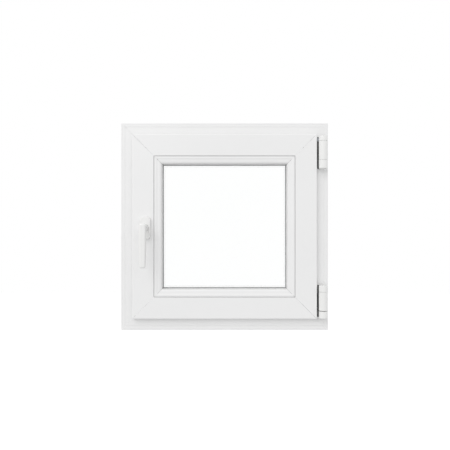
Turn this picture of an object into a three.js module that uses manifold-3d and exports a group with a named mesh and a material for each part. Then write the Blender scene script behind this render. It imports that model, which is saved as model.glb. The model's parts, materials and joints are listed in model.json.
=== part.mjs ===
// Tilt-and-turn casement window in white uPVC, closed. Millimetres, +Z up.
// The room lies towards -Y and the open air towards +Y. The hinges are at +X and the handle is at -X.
// The origin is the middle of the frame's underside, halfway through the frame's depth.
//
// Bars are drawn as a section (u, y): u is the distance inwards from the window's outer edge, and y is
// the depth. A side group turns the section round the window, so that one section serves four bars.
import * as THREE from 'three';
import { mergeVertices } from 'three/addons/utils/BufferGeometryUtils.js';
import Module from 'manifold-3d';

const wasm = await Module();
wasm.setup();

// ---------- Driving dimensions ----------

// Whole window
const windowWidth = 600;
const windowHeight = 600;

// Clearances
const fit = 0.3;                    // between parts that touch in the real window
const mitreGap = 0.2;               // each bar's share of the gap at a welded corner
const overrun = 1;                  // how far a cutting shape runs past the surface that it opens

// Frame bars
const frameDepth = 70;
const frameRebateHeight = 44;       // outer edge to the rebate floor
const frameLegHeight = 66;          // outer edge to the tip of the exterior leg
const frameLegThickness = 14;
const frameWall = 3;
const frameWeb = 3;                 // walls between the chambers
const frameRoomChamber = 16;        // depths of the chambers, from the room side
const frameSteelChamber = 20;
const frameLegChamber = 5;
const faceGrooveInset = 11;
const faceGrooveWidth = 1.2;
const faceGrooveDepth = 0.8;

// Sash bars
const sashOverlap = 9.2;            // how far the sash laps over the frame's face
const rebateGap = 12;               // room for the hardware between sash and frame
const overlapGap = 4;               // between the lap and the frame's face, filled by the gasket
const lapThickness = 14;
const outerGap = 4;                 // between the sash and the frame's exterior leg
const sashFaceWidth = 62.6;
const sashLegThickness = 14;
const sashLegSetBack = 4;           // the exterior leg's tip stops short of the bead's edge
const sashWall = 3;
const sashWeb = 3;
const sashFloorWall = 6;            // under the glass, thick enough for the beads' feet
const sashRoomChamber = 5;
const hardwareGrooveWidth = 16;
const hardwareGrooveDepth = 10;
const hardwareGrooveAxis = 13;      // from the back of the lap to the middle of the groove

// Glazing
const paneThickness = 4;
const glassCavity = 16;
const glassGasketThickness = 3;
const glassEdgeClearance = 4.5;
const glassGasketLip = 1.5;         // how far the gaskets show past the bead
const glassGasketWidth = 9.5;
const spacerWidth = 10;
const spacerWall = 1;
const beadWidth = 23.5;
const beadSetBack = 1;              // the bead's face lies behind the sash's face
const beadStepInset = 8.4;
const beadStepDepth = 1.5;
const beadSlopeWidth = 6;
const beadSlopeDepth = 6.5;
const beadWall = 2;
const beadFootWidth = 3;
const beadFootDepth = 3.2;
const beadFootSetBack = 2;          // the foot lies in front of the bead's back
const packerLength = 60;
const packerInset = 70;             // glass corner to the middle of a packer
const packerWidth = 20;

// Steel reinforcement
const steelThickness = 1.5;
const steelEndInset = 5;            // the steel's end before the inner corner of its chamber

// Seals between frame and sash
const lapGasketInset = 4;           // from the lap's edge
const lapGasketWidth = 3.5;
const lapGasketRelief = 0.6;        // between its bulb and the frame's face when shut
const outerGasketInset = 2;         // from the tip of the exterior leg
const outerGasketWidth = 4;
const gasketRootDepth = 3;

// Drainage
const drainLength = 25;
const drainHeight = 5;
const drainRise = 10;               // underside to the slot
const drainSpacing = 340;
const drainCoverMargin = 5;
const drainCoverDepth = 4;
const drainCoverWall = 1.5;

// Hinges
const hingeAxisInset = 18;          // from the frame's outer edge
const hingeAxisReach = 20;          // from the frame's face into the room
const barrelRadius = 12.5;
const hingePinRadius = 4;
const hingePlateThickness = 2.3;
const hingeFootWidth = 16;
const hingeNeckWidth = 8;
const bottomHingeRise = 38.5;       // frame's underside to the hinge's lower end
const bottomBearingHeight = 19.5;
const bearingFloor = 1.5;
const swivelRadius = 7.2;
const tiltAxisRise = 44;            // frame's underside to the tilt axis
const tiltPinRadius = 3;
const tiltGap = 2.4;                // lets the leaning barrel clear its bearing
const bottomBarrelHeight = 53;
const bandInset = 6;                // from a barrel's ends to its plate
const bottomCapHeight = 18;
const spigotRadius = 6;
const spigotHeight = 8;
const swivelFloor = 1;
const tiltReach = 1.9;              // how far the tilt pin leans at the swivel's top
const hingeLeafLength = 110;
const tiltPinFoot = 2;              // tilt axis to the pin's lower end
const hingeLeafWidth = 22;
const topHingeDrop = 41.5;          // frame's upper edge to the hinge's upper end
const knuckleHeight = 14;
const knuckleCrown = 3.5;           // from the top of the stay arm's plate to the knuckle's top
const topBarrelHeight = 54;
const topCapHeight = 24;
const capLip = 4;                   // bottom of a cap under its pin
const capChamfer = 1;

// Stay arm along the top of the sash
const stayReach = 238;              // hinge axis to the arm's end pin
const stayWidth = 8;
const stayThickness = 2.5;
const stayClearance = 5.7;          // over the sash's rebate face, for the rising edge when tilted
const stayPinRadius = 3;
const stayCrankGap = 5.2;           // keeps the crank off the sash's corner as both swing
const staySlotPlay = 0.7;
const staySlotTravel = 2.6;
const stayGuideLength = 60;
const stayGuideThickness = 3;

// Locking gear in the hardware groove
const faceplateThickness = 2.5;
const faceplateMargin = 14;         // groove corner to the faceplate's end
const rodThickness = 2.5;
const camRadius = 4;
const camProud = 7.5;               // how far a cam stands out of the sash
const camSlotPlay = 0.8;
const camInset = 70;                // sash corner to the cam at rest
const sideRodInset = 36;
const cornerRodLength = 120;
const keepBase = 2.5;
const keepWall = 2.5;
const keepWallHeight = 6.2;
const keepWidth = 15;
const keepPlay = 0.8;               // behind a cam
const keepEndPlay = 4;              // past each end of a cam's travel

// Gearbox
const pinionTeeth = 18;
const pinionPitchRadius = 11.46;
const toothHeight = 2;
const toothRoot = 1.9;              // a tooth's width where it leaves the gear or the rack
const toothTip = 0.9;
const pinionThickness = 8;
const gearboxLength = 84;
const gearboxThickness = 13.4;
const gearboxPlay = 1;              // past each end of the case
const gearboxBack = 15;             // spindle to the back of the case

// Handle
const handleHeight = 296;
const handlePlateWidth = 30;
const handlePlateHeight = 65;
const handlePlateDepth = 10;
const handlePlateRound = 11;
const handleShell = 2;
const handleBaseDepth = 4;
const handleNeckRadius = 10;
const handleGap = 45;               // sash face to the back of the grip
const handleGripDepth = 14;
const handleGripWidth = 18;
const handleGripLength = 111;       // spindle to the tip
const handleGripHead = 13;          // spindle to the top
const handleGripTaper = 2;          // how much narrower each side of the tip is
const spindleWidth = 7;
const spindleSocket = 15;           // how deep the spindle enters the lever's neck
const screwSpacing = 43;
const screwRadius = 2.5;
const screwHeadRadius = 4.2;
const screwHeadHeight = 2.6;

// ---------- Places worked out from them ----------

const frameRoomFace = -frameDepth / 2;
const frameOuterFace = frameDepth / 2;
const frameLegFace = frameOuterFace - frameLegThickness;
const lapEdge = frameRebateHeight - sashOverlap;
const sashRebate = frameRebateHeight + rebateGap;
const lapBack = frameRoomFace - overlapGap;
const sashRoomFace = lapBack - lapThickness;
const sashOuterFace = frameLegFace - outerGap;
const grooveAxisY = lapBack + hardwareGrooveAxis;
const grooveRoomSide = grooveAxisY - hardwareGrooveWidth / 2;
const grooveOuterSide = grooveAxisY + hardwareGrooveWidth / 2;
const grooveFloor = sashRebate + hardwareGrooveDepth;
const beadLine = lapEdge + sashFaceWidth;
const sashLegFace = sashOuterFace - sashLegThickness;
const glassOuterFace = sashLegFace - glassGasketThickness;
const glassRoomFace = glassOuterFace - 2 * paneThickness - glassCavity;
const glassEdge = beadLine + glassEdgeClearance;
const beadEdge = beadLine + beadWidth;
const beadFace = sashRoomFace + beadSetBack;
const beadBack = glassRoomFace - glassGasketThickness;
const sashLegEdge = beadEdge - sashLegSetBack;
const beadFootHigh = beadBack - beadFootSetBack;
const beadFootLow = beadFootHigh - beadFootDepth;

// Each side's length, distance from the window's centre, and turn about Y from the bottom side
const sides = {
  bottom: { length: windowWidth, reach: windowHeight / 2, turn: 0 },
  handle: { length: windowHeight, reach: windowWidth / 2, turn: Math.PI / 2 },
  top: { length: windowWidth, reach: windowHeight / 2, turn: Math.PI },
  hinge: { length: windowHeight, reach: windowWidth / 2, turn: -Math.PI / 2 },
};

const hingeX = windowWidth / 2 - hingeAxisInset;
const hingeY = frameRoomFace - hingeAxisReach;
const plateFront = lapBack + (overlapGap - hingePlateThickness) / 2;
const plateBack = plateFront + hingePlateThickness;
const hingeRebateX = windowWidth / 2 - sashRebate;
const topRebateZ = windowHeight - sashRebate;
const bearingTop = bottomHingeRise + bottomBearingHeight;
const bottomBarrelLow = bearingTop + tiltGap;
const bottomBarrelHigh = bottomBarrelLow + bottomBarrelHeight;
const bandLow = bottomBarrelLow + bandInset;
const bandHigh = bottomBarrelHigh - bandInset;
const knuckleHigh = windowHeight - topHingeDrop;
const knuckleLow = knuckleHigh - knuckleHeight;
const stayPlateLow = knuckleLow + 1;
const stayPlateHigh = knuckleHigh - knuckleCrown;
const topBarrelHigh = knuckleLow - fit;
const topBarrelLow = topBarrelHigh - topBarrelHeight;
const topCapHigh = topBarrelLow - fit;
const topCapLow = topCapHigh - topCapHeight;
const stayPinX = hingeX - stayReach;
const stayStraighten = Math.hypot(stayReach, grooveAxisY - hingeY) - stayReach;
const stayLow = topRebateZ + stayClearance;
const rodOutside = sashRebate + fit + faceplateThickness + fit;
const rodInside = rodOutside + rodThickness;
const spindleInset = rodInside + toothHeight / 2 + pinionPitchRadius;
const handleX = -windowWidth / 2 + spindleInset;
const handleAlong = windowHeight / 2 - handleHeight;
const rodTravel = Math.PI * pinionPitchRadius;

// ---------- Materials ----------

function finish(color, roughness, metalness = 0) {
  return new THREE.MeshStandardMaterial({ color, roughness, metalness });
}

const upvc = finish(0xeeefef, 0.3);
const coated = finish(0xf2f2f0, 0.25);
const zinc = finish(0xb4b8ba, 0.4, 0.8);
const steel = finish(0x8c9092, 0.45, 0.8);
const rubber = finish(0x6f7274, 0.8);
const aluminium = finish(0xc6c8ca, 0.35, 0.8);
const plastic = finish(0x4c5052, 0.6);
const glass = new THREE.MeshStandardMaterial({
  color: 0xdfe9e6,
  roughness: 0.05,
  transparent: true,
  opacity: 0.3,
});

// ---------- Solid helpers ----------

// A closed geometry with shared vertices, its faces pointing outwards
function closed(geometry) {
  const bare = geometry.clone();
  bare.deleteAttribute('normal');
  bare.deleteAttribute('uv');
  bare.clearGroups();
  const merged = mergeVertices(bare, 1e-4);
  const place = merged.attributes.position;
  const index = merged.index.array;
  const [a, b, c] = [new THREE.Vector3(), new THREE.Vector3(), new THREE.Vector3()];
  const kept = [];
  let volume = 0;
  for (let i = 0; i < index.length; i += 3) {
    const corners = [index[i], index[i + 1], index[i + 2]];
    if (new Set(corners).size < 3) continue;
    kept.push(...corners);
    a.fromBufferAttribute(place, corners[0]);
    b.fromBufferAttribute(place, corners[1]);
    c.fromBufferAttribute(place, corners[2]);
    volume += a.dot(b.cross(c));
  }
  if (volume < 0) {
    kept.reverse();
  }
  merged.setIndex(kept);
  return merged;
}

function toManifold(geometry) {
  const shape = closed(geometry);
  return new wasm.Manifold(new wasm.Mesh({
    numProp: 3,
    vertProperties: new Float32Array(shape.attributes.position.array),
    triVerts: new Uint32Array(shape.index.array),
  }));
}

function fromManifold(solid) {
  const mesh = solid.getMesh();
  const geometry = new THREE.BufferGeometry();
  geometry.setAttribute('position', new THREE.BufferAttribute(new Float32Array(mesh.vertProperties), 3));
  geometry.setIndex(new THREE.BufferAttribute(new Uint32Array(mesh.triVerts), 1));
  return geometry;
}

function join(...geometries) {
  return fromManifold(geometries.map(toManifold).reduce((whole, next) => whole.add(next)));
}

function cut(geometry, ...tools) {
  const whole = toManifold(geometry);
  return fromManifold(tools.map(toManifold).reduce((rest, tool) => rest.subtract(tool), whole));
}

// A box between two corners
function block([x0, y0, z0], [x1, y1, z1]) {
  const geometry = new THREE.BoxGeometry(x1 - x0, y1 - y0, z1 - z0);
  return geometry.translate((x0 + x1) / 2, (y0 + y1) / 2, (z0 + z1) / 2);
}

// A round bar along x, y or z, between two places on that axis
function roundBar(axis, radius, from, to, [x, y, z], segments = 24) {
  const geometry = new THREE.CylinderGeometry(radius, radius, to - from, segments);
  const middle = (from + to) / 2;
  if (axis === 'x') return geometry.rotateZ(Math.PI / 2).translate(middle, y, z);
  if (axis === 'y') return geometry.translate(x, middle, z);
  return geometry.rotateX(Math.PI / 2).translate(x, y, middle);
}

// A closed outline through points [a, b, corner radius]
function outline(points, Kind = THREE.Shape) {
  const path = new Kind();
  const count = points.length;
  points.forEach(([x, y, radius = 0], i) => {
    const here = new THREE.Vector2(x, y);
    const before = new THREE.Vector2(...points[(i + count - 1) % count].slice(0, 2));
    const after = new THREE.Vector2(...points[(i + 1) % count].slice(0, 2));
    const enter = here.clone().add(before.sub(here).setLength(radius));
    const leave = here.clone().add(after.sub(here).setLength(radius));
    if (i === 0) {
      path.moveTo(enter.x, enter.y);
    } else {
      path.lineTo(enter.x, enter.y);
    }
    if (radius > 0) {
      path.quadraticCurveTo(here.x, here.y, leave.x, leave.y);
    }
  });
  path.closePath();
  return path;
}

function rectangle([x0, y0], [x1, y1], radius = 0, Kind = THREE.Shape) {
  return outline([[x0, y0, radius], [x1, y0, radius], [x1, y1, radius], [x0, y1, radius]], Kind);
}

function extrude(shape, depth, curveSegments = 4) {
  return new THREE.ExtrudeGeometry(shape, { depth, bevelEnabled: false, curveSegments });
}

// A flat outline in (x, z), extruded in depth from y0 to y1
function panel(shape, y0, y1, curveSegments = 6) {
  return extrude(shape, y1 - y0, curveSegments).rotateX(Math.PI / 2).translate(0, y1, 0);
}

// A bar with mitred ends from a section (u, y), along x on the bottom side
function mitredBar(section, length, gap = mitreGap) {
  const geometry = extrude(section, 1);
  const place = geometry.attributes.position;
  for (let i = 0; i < place.count; i += 1) {
    const u = place.getX(i);
    const end = length / 2 - u - gap;
    place.setXYZ(i, THREE.MathUtils.lerp(end, -end, place.getZ(i)), place.getY(i), u);
  }
  return geometry;
}

// A mitred bar with chambers [u0, y0, u1, y1] that run right through it
function hollowBar(section, chambers, length) {
  const tools = chambers.map(([u0, y0, u1, y1]) => mitredBar(rectangle([u0, y0], [u1, y1]), length, -1));
  return cut(mitredBar(section, length), ...tools);
}

// A bar with square ends from a section (u, y), along x on the bottom side
function squareBar(section, length) {
  return extrude(section, length).rotateY(-Math.PI / 2).translate(length / 2, 0, 0);
}

// A four-sided ring from a section (u, y), about the window's centre
function ring(points) {
  const reach = Math.max(windowWidth, windowHeight) / 2;
  const profile = [...points, points[0]].map(([u, y]) => new THREE.Vector2((reach - u) * Math.SQRT2, y));
  const geometry = new THREE.LatheGeometry(profile, 4, Math.PI / 4);
  const place = geometry.attributes.position;
  for (let i = 0; i < place.count; i += 1) {
    const x = place.getX(i) - Math.sign(place.getX(i)) * (reach - windowWidth / 2);
    const z = place.getZ(i) - Math.sign(place.getZ(i)) * (reach - windowHeight / 2);
    place.setXYZ(i, x, place.getY(i), z);
  }
  return closed(geometry);
}

// ---------- The scene graph ----------

const windowGroup = new THREE.Group();
const centreGroup = new THREE.Group();
centreGroup.position.set(0, 0, windowHeight / 2);
windowGroup.add(centreGroup);

const sideGroups = {};
Object.entries(sides).forEach(([side, { reach, turn }]) => {
  const turned = new THREE.Group();
  turned.rotation.y = turn;
  const edge = new THREE.Group();
  edge.position.set(0, 0, -reach);
  turned.add(edge);
  centreGroup.add(turned);
  sideGroups[side] = edge;
});

function add(group, name, geometry, material) {
  const mesh = new THREE.Mesh(closed(geometry), material);
  mesh.name = name;
  group.add(mesh);
}

// ---------- Frame ----------

function frameSection() {
  const grooveAt = frameLegHeight - outerGasketInset - outerGasketWidth / 2;
  const grooveHalf = outerGasketWidth / 4 + fit / 2;
  return outline([
    [0, frameRoomFace, 2],
    [faceGrooveInset - faceGrooveWidth / 2, frameRoomFace],
    [faceGrooveInset, frameRoomFace + faceGrooveDepth],
    [faceGrooveInset + faceGrooveWidth / 2, frameRoomFace],
    [frameRebateHeight, frameRoomFace, 2],
    [frameRebateHeight, frameLegFace],
    [grooveAt - grooveHalf, frameLegFace],
    [grooveAt - grooveHalf, frameLegFace + gasketRootDepth + fit],
    [grooveAt + grooveHalf, frameLegFace + gasketRootDepth + fit],
    [grooveAt + grooveHalf, frameLegFace],
    [frameLegHeight, frameLegFace, 1],
    [frameLegHeight, frameOuterFace, 3],
    [0, frameOuterFace],
  ]);
}

function frameChambers() {
  const roomStart = frameRoomFace + frameWall;
  const steelStart = roomStart + frameRoomChamber + frameWeb;
  const backStart = steelStart + frameSteelChamber + frameWeb;
  const legStart = frameOuterFace - frameWall - frameLegChamber;
  const legInside = frameLegHeight - frameWall;
  const inside = frameRebateHeight - frameWall;
  return [
    [frameWall, roomStart, inside, roomStart + frameRoomChamber],
    [frameWall, steelStart, inside, steelStart + frameSteelChamber],
    [frameWall, backStart, inside, frameLegFace - frameWeb / 2],
    [frameWall, legStart, legInside, legStart + frameLegChamber],
  ];
}

// A channel open towards the glass, from its lowest corner to its highest, in (u, y)
function channel([u0, y0], [u1, y1], wall) {
  return outline([
    [u0, y0], [u1, y0], [u1, y0 + wall], [u0 + wall, y0 + wall],
    [u0 + wall, y1 - wall], [u1, y1 - wall], [u1, y1], [u0, y1],
  ]);
}

function frameSteelSection() {
  const start = frameRoomFace + frameWall + frameRoomChamber + frameWeb;
  return channel(
    [frameWall + fit, start + fit],
    [frameRebateHeight - frameWall - fit, start + frameSteelChamber - fit],
    steelThickness,
  );
}

// A slot through the sill's exterior wall into its leg chamber
function drainSlot(x) {
  return block(
    [x - drainLength / 2, frameOuterFace - frameWall - overrun, drainRise],
    [x + drainLength / 2, frameOuterFace + overrun, drainRise + drainHeight],
  );
}

// A hood over a drain slot, open underneath
function drainCover(x) {
  const half = drainLength / 2 + drainCoverMargin;
  const low = drainRise - drainCoverMargin;
  const high = drainRise + drainHeight + drainCoverMargin;
  const back = frameOuterFace + fit;
  const hood = block([x - half, back, low], [x + half, back + drainCoverDepth, high]);
  const inside = block([x - half + drainCoverWall, back - overrun, low - overrun],
    [x + half - drainCoverWall, back + drainCoverDepth - drainCoverWall, high - drainCoverWall]);
  return cut(hood, inside);
}

function addFrame() {
  const drains = [-drainSpacing / 2, drainSpacing / 2];
  const names = {
    bottom: 'frame_sill',
    handle: 'frame_handle_jamb',
    top: 'frame_head',
    hinge: 'frame_hinge_jamb',
  };
  Object.entries(names).forEach(([side, name]) => {
    const { length } = sides[side];
    const bar = hollowBar(frameSection(), frameChambers(), length);
    add(sideGroups[side], name, side === 'bottom' ? cut(bar, ...drains.map(drainSlot)) : bar, upvc);
    const steelLength = length - 2 * (frameRebateHeight + steelEndInset);
    add(sideGroups[side], `${name}_steel`, squareBar(frameSteelSection(), steelLength), zinc);
  });
  const low = frameLegHeight - outerGasketInset - outerGasketWidth;
  const high = frameLegHeight - outerGasketInset;
  const quarter = outerGasketWidth / 4;
  add(centreGroup, 'frame_gasket', ring([
    [low, sashOuterFace + fit],
    [high, sashOuterFace + fit],
    [high, frameLegFace - fit],
    [high - quarter, frameLegFace - fit],
    [high - quarter, frameLegFace + gasketRootDepth],
    [low + quarter, frameLegFace + gasketRootDepth],
    [low + quarter, frameLegFace - fit],
    [low, frameLegFace - fit],
  ]), rubber);
  add(windowGroup, 'drain_cover_left', drainCover(drains[0]), coated);
  add(windowGroup, 'drain_cover_right', drainCover(drains[1]), coated);
}

// ---------- Sash ----------

function sashSection() {
  const stem = lapEdge + lapGasketInset + lapGasketWidth / 2;
  const stemHalf = lapGasketWidth / 4 + fit / 2;
  return outline([
    [lapEdge, sashRoomFace, 3],
    [lapEdge, lapBack, 1],
    [stem - stemHalf, lapBack],
    [stem - stemHalf, lapBack - gasketRootDepth - fit],
    [stem + stemHalf, lapBack - gasketRootDepth - fit],
    [stem + stemHalf, lapBack],
    [sashRebate, lapBack],
    [sashRebate, grooveRoomSide],
    [grooveFloor, grooveRoomSide],
    [grooveFloor, grooveOuterSide],
    [sashRebate, grooveOuterSide],
    [sashRebate, sashOuterFace, 2],
    [sashLegEdge, sashOuterFace, 4],
    [sashLegEdge, sashLegFace, 1],
    [beadLine, sashLegFace],
    [beadLine, beadFootHigh + fit],
    [beadLine - beadFootWidth - fit, beadFootHigh + fit],
    [beadLine - beadFootWidth - fit, beadFootLow - fit],
    [beadLine, beadFootLow - fit],
    [beadLine, sashRoomFace, 0.6],
  ]);
}

function sashChambers() {
  const steelStart = grooveOuterSide + sashWeb;
  const floorInside = beadLine - sashFloorWall;
  return [
    [lapEdge + sashWall, sashRoomFace + sashWall, floorInside, sashRoomFace + sashWall + sashRoomChamber],
    [grooveFloor + sashWall, grooveRoomSide, floorInside, grooveOuterSide],
    [sashRebate + sashWall, steelStart, floorInside, sashLegFace],
    [sashRebate + sashWall, sashLegFace + sashWall, sashLegEdge - sashWall, sashOuterFace - sashWall],
  ];
}

function sashSteelSection() {
  return channel(
    [sashRebate + sashWall + fit, grooveOuterSide + sashWeb + fit],
    [beadLine - sashFloorWall - fit, sashLegFace - fit],
    steelThickness,
  );
}

// The room that the gearbox, the spindle and the handle's screws need in the handle-side bar
function gearboxPocket() {
  const at = handleAlong;
  const half = gearboxLength / 2 + gearboxPlay;
  const pocket = block(
    [at - half, grooveRoomSide, sashRebate - overrun],
    [at + half, grooveOuterSide, spindleInset + gearboxBack + fit],
  );
  const through = [sashRoomFace - overrun, grooveRoomSide + overrun];
  const spindleHole = roundBar('y', spindleWidth, ...through, [at, 0, spindleInset]);
  const screwHoles = [-1, 1].map((end) => (
    roundBar('y', screwRadius + fit, ...through, [at + end * screwSpacing / 2, 0, spindleInset], 16)
  ));
  return [pocket, spindleHole, ...screwHoles];
}

function addSash() {
  const names = {
    bottom: 'sash_bottom_rail',
    handle: 'sash_handle_stile',
    top: 'sash_top_rail',
    hinge: 'sash_hinge_stile',
  };
  Object.entries(names).forEach(([side, name]) => {
    const { length } = sides[side];
    const bar = hollowBar(sashSection(), sashChambers(), length);
    add(sideGroups[side], name, side === 'handle' ? cut(bar, ...gearboxPocket()) : bar, upvc);
    const steelLength = length - 2 * (beadLine + steelEndInset);
    add(sideGroups[side], `${name}_steel`, squareBar(sashSteelSection(), steelLength), zinc);
  });
  const low = lapEdge + lapGasketInset;
  const high = low + lapGasketWidth;
  const quarter = lapGasketWidth / 4;
  const gasket = ring([
    [low, lapBack + fit],
    [low + quarter, lapBack + fit],
    [low + quarter, lapBack - gasketRootDepth],
    [high - quarter, lapBack - gasketRootDepth],
    [high - quarter, lapBack + fit],
    [high, lapBack + fit],
    [high, frameRoomFace - lapGasketRelief],
    [low, frameRoomFace - lapGasketRelief],
  ]).translate(0, 0, windowHeight / 2);
  add(windowGroup, 'sash_gasket', cut(gasket, ...hingePlateNotches()), rubber);
}

// ---------- Glazing ----------

function beadSection() {
  const seat = beadLine + fit;
  const face = beadFace + beadStepDepth;
  return outline([
    [seat, beadFace, 0.8],
    [beadLine + beadStepInset, beadFace, 0.5],
    [beadLine + beadStepInset + beadStepDepth, face],
    [beadEdge - beadSlopeWidth, face],
    [beadEdge, face + beadSlopeDepth],
    [beadEdge, beadBack],
    [seat, beadBack],
    [seat, beadFootHigh],
    [beadLine - beadFootWidth, beadFootHigh],
    [beadLine - beadFootWidth, beadFootLow],
    [seat, beadFootLow],
  ]);
}

function beadChambers() {
  const front = beadFace + beadStepDepth + beadSlopeDepth + beadWall;
  return [[beadLine + fit + beadWall, front, beadEdge - beadWall, beadBack - beadWall]];
}

function pane(front) {
  return block(
    [glassEdge - windowWidth / 2, front, glassEdge - windowHeight / 2],
    [windowWidth / 2 - glassEdge, front + paneThickness, windowHeight / 2 - glassEdge],
  );
}

// A gasket in front of or behind the glass, whose lip shows past a bead's or a leg's edge
function glassGasket(edge, y0, y1) {
  const lip = edge + glassGasketLip;
  const root = lip - glassGasketWidth;
  return ring([[root, y0 + fit], [lip, y0 + fit], [lip, y1 - fit], [root, y1 - fit]]);
}

function packer(along) {
  const middle = (glassRoomFace + glassOuterFace) / 2;
  return block(
    [along - packerLength / 2, middle - packerWidth / 2, beadLine + fit],
    [along + packerLength / 2, middle + packerWidth / 2, glassEdge - fit],
  );
}

function addGlazing() {
  Object.entries(sides).forEach(([side, { length }]) => {
    add(sideGroups[side], `glazing_bead_${side}`, hollowBar(beadSection(), beadChambers(), length), upvc);
  });
  const innerBack = glassRoomFace + paneThickness;
  const outerFront = glassOuterFace - paneThickness;
  add(centreGroup, 'glass_pane_room', pane(glassRoomFace), glass);
  add(centreGroup, 'glass_pane_outer', pane(outerFront), glass);
  const spacerOut = glassEdge + fit;
  const spacerIn = spacerOut + spacerWidth;
  add(centreGroup, 'glass_spacer', ring([
    [spacerOut, innerBack + fit],
    [spacerIn, innerBack + fit],
    [spacerIn, outerFront - fit],
    [spacerOut, outerFront - fit],
    [spacerOut, outerFront - fit - spacerWall],
    [spacerIn - spacerWall, outerFront - fit - spacerWall],
    [spacerIn - spacerWall, innerBack + fit + spacerWall],
    [spacerOut, innerBack + fit + spacerWall],
  ]), aluminium);
  add(centreGroup, 'glazing_gasket_room', glassGasket(beadEdge, beadBack, glassRoomFace), rubber);
  add(centreGroup, 'glazing_gasket_outer', glassGasket(sashLegEdge, glassOuterFace, sashLegFace), rubber);
  const across = windowWidth / 2 - glassEdge - packerInset;
  const up = windowHeight / 2 - glassEdge - packerInset;
  add(sideGroups.bottom, 'glazing_packer_bottom_left', packer(-across), plastic);
  add(sideGroups.bottom, 'glazing_packer_bottom_right', packer(across), plastic);
  add(sideGroups.handle, 'glazing_packer_handle_side', packer(-up), plastic);
  add(sideGroups.hinge, 'glazing_packer_hinge_side', packer(-up), plastic);
}

// ---------- Hinges ----------

// A solid of revolution about the hinge axis, from a closed profile (radius, z)
function turnedOnHinge(profile) {
  const points = [...profile, profile[0]].map(([radius, z]) => new THREE.Vector2(radius, z));
  return closed(new THREE.LatheGeometry(points, 32)).rotateX(Math.PI / 2).translate(hingeX, hingeY, 0);
}

// A barrel between two heights with a bore through it
function boredBarrel(z0, z1, bore) {
  return turnedOnHinge([[bore, z0], [barrelRadius, z0], [barrelRadius, z1], [bore, z1]]);
}

// The foot that holds a frame-side barrel to the frame's face
function hingeFoot(z0, z1) {
  return block(
    [hingeX - hingeFootWidth / 2, hingeY + barrelRadius / 2, z0],
    [hingeX + hingeFootWidth / 2, frameRoomFace - fit, z1],
  );
}

// The neck and plate that lead from a sash-side barrel round the lap to a place in the rebate
function hingeCrank(plateX, z0, z1) {
  const neck = block([hingeX - hingeNeckWidth, hingeY + barrelRadius - 2, z0], [hingeX, plateBack, z1]);
  const plate = block([plateX, plateFront, z0], [hingeX, plateBack, z1]);
  return [neck, plate];
}

// Room in the sash gasket's bulb for the two plates that cross it
function hingePlateNotches() {
  const outside = windowWidth / 2 - lapEdge;
  const inside = outside - lapGasketInset - lapGasketWidth - 1;
  return [[bandLow, bandHigh], [stayPlateLow, stayPlateHigh]].map(([z0, z1]) => (
    block([inside, lapBack, z0 - 1], [outside, frameRoomFace, z1 + 1])
  ));
}

function bottomHingeBearing() {
  const barrel = roundBar('z', barrelRadius, bottomHingeRise, bearingTop, [hingeX, hingeY], 32);
  const foot = hingeFoot(bottomHingeRise, bearingTop);
  const boreLow = bottomHingeRise + bearingFloor;
  const bore = roundBar('z', swivelRadius + fit, boreLow, bearingTop + overrun, [hingeX, hingeY], 32);
  return cut(join(barrel, foot), bore);
}

// A cup that turns in the bearing, with a slot that lets the tilt pin lean
function bottomHingeSwivel() {
  const low = bottomHingeRise + bearingFloor + fit;
  const cup = roundBar('z', swivelRadius, low, bearingTop - fit, [hingeX, hingeY], 32);
  const half = tiltPinRadius + fit;
  const slot = block(
    [hingeX - half, hingeY - half - tiltReach - fit, low + swivelFloor],
    [hingeX + half, hingeY + half + fit, bearingTop + overrun],
  );
  return cut(cup, slot);
}

// The sash's barrel with its tilt pin, plate and leaf
function bottomHingeBand() {
  const pinLow = tiltAxisRise - tiltPinFoot;
  const barrel = turnedOnHinge([
    [0, pinLow],
    [tiltPinRadius, pinLow],
    [tiltPinRadius, bottomBarrelLow],
    [barrelRadius, bottomBarrelLow],
    [barrelRadius, bottomBarrelHigh],
    [spigotRadius, bottomBarrelHigh],
    [spigotRadius, bottomBarrelHigh + spigotHeight],
    [0, bottomBarrelHigh + spigotHeight],
  ]);
  const leafX = hingeRebateX + fit;
  const leaf = block([leafX, plateFront, bandLow], [
    leafX + hingePlateThickness,
    plateFront + hingeLeafWidth,
    bandLow + hingeLeafLength,
  ]);
  return join(barrel, ...hingeCrank(leafX, bandLow, bandHigh), leaf);
}

function bottomHingeCap() {
  const low = bottomBarrelHigh + fit;
  const bore = spigotRadius + fit;
  const top = bottomBarrelHigh + spigotHeight + fit;
  const high = low + bottomCapHeight;
  return turnedOnHinge([
    [0, top],
    [bore, top],
    [bore, low],
    [barrelRadius, low],
    [barrelRadius, high - capChamfer],
    [barrelRadius - capChamfer, high],
    [0, high],
  ]);
}

function topHingeBearing() {
  const barrel = boredBarrel(topBarrelLow, topBarrelHigh, hingePinRadius + fit);
  return join(barrel, hingeFoot(topBarrelLow, topBarrelHigh));
}

function topHingeCap() {
  const bore = hingePinRadius + fit;
  const floor = topCapLow + capLip;
  return turnedOnHinge([
    [0, topCapLow],
    [barrelRadius - capChamfer, topCapLow],
    [barrelRadius, topCapLow + capChamfer],
    [barrelRadius, topCapHigh],
    [bore, topCapHigh],
    [bore, floor],
    [0, floor],
  ]);
}

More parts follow.
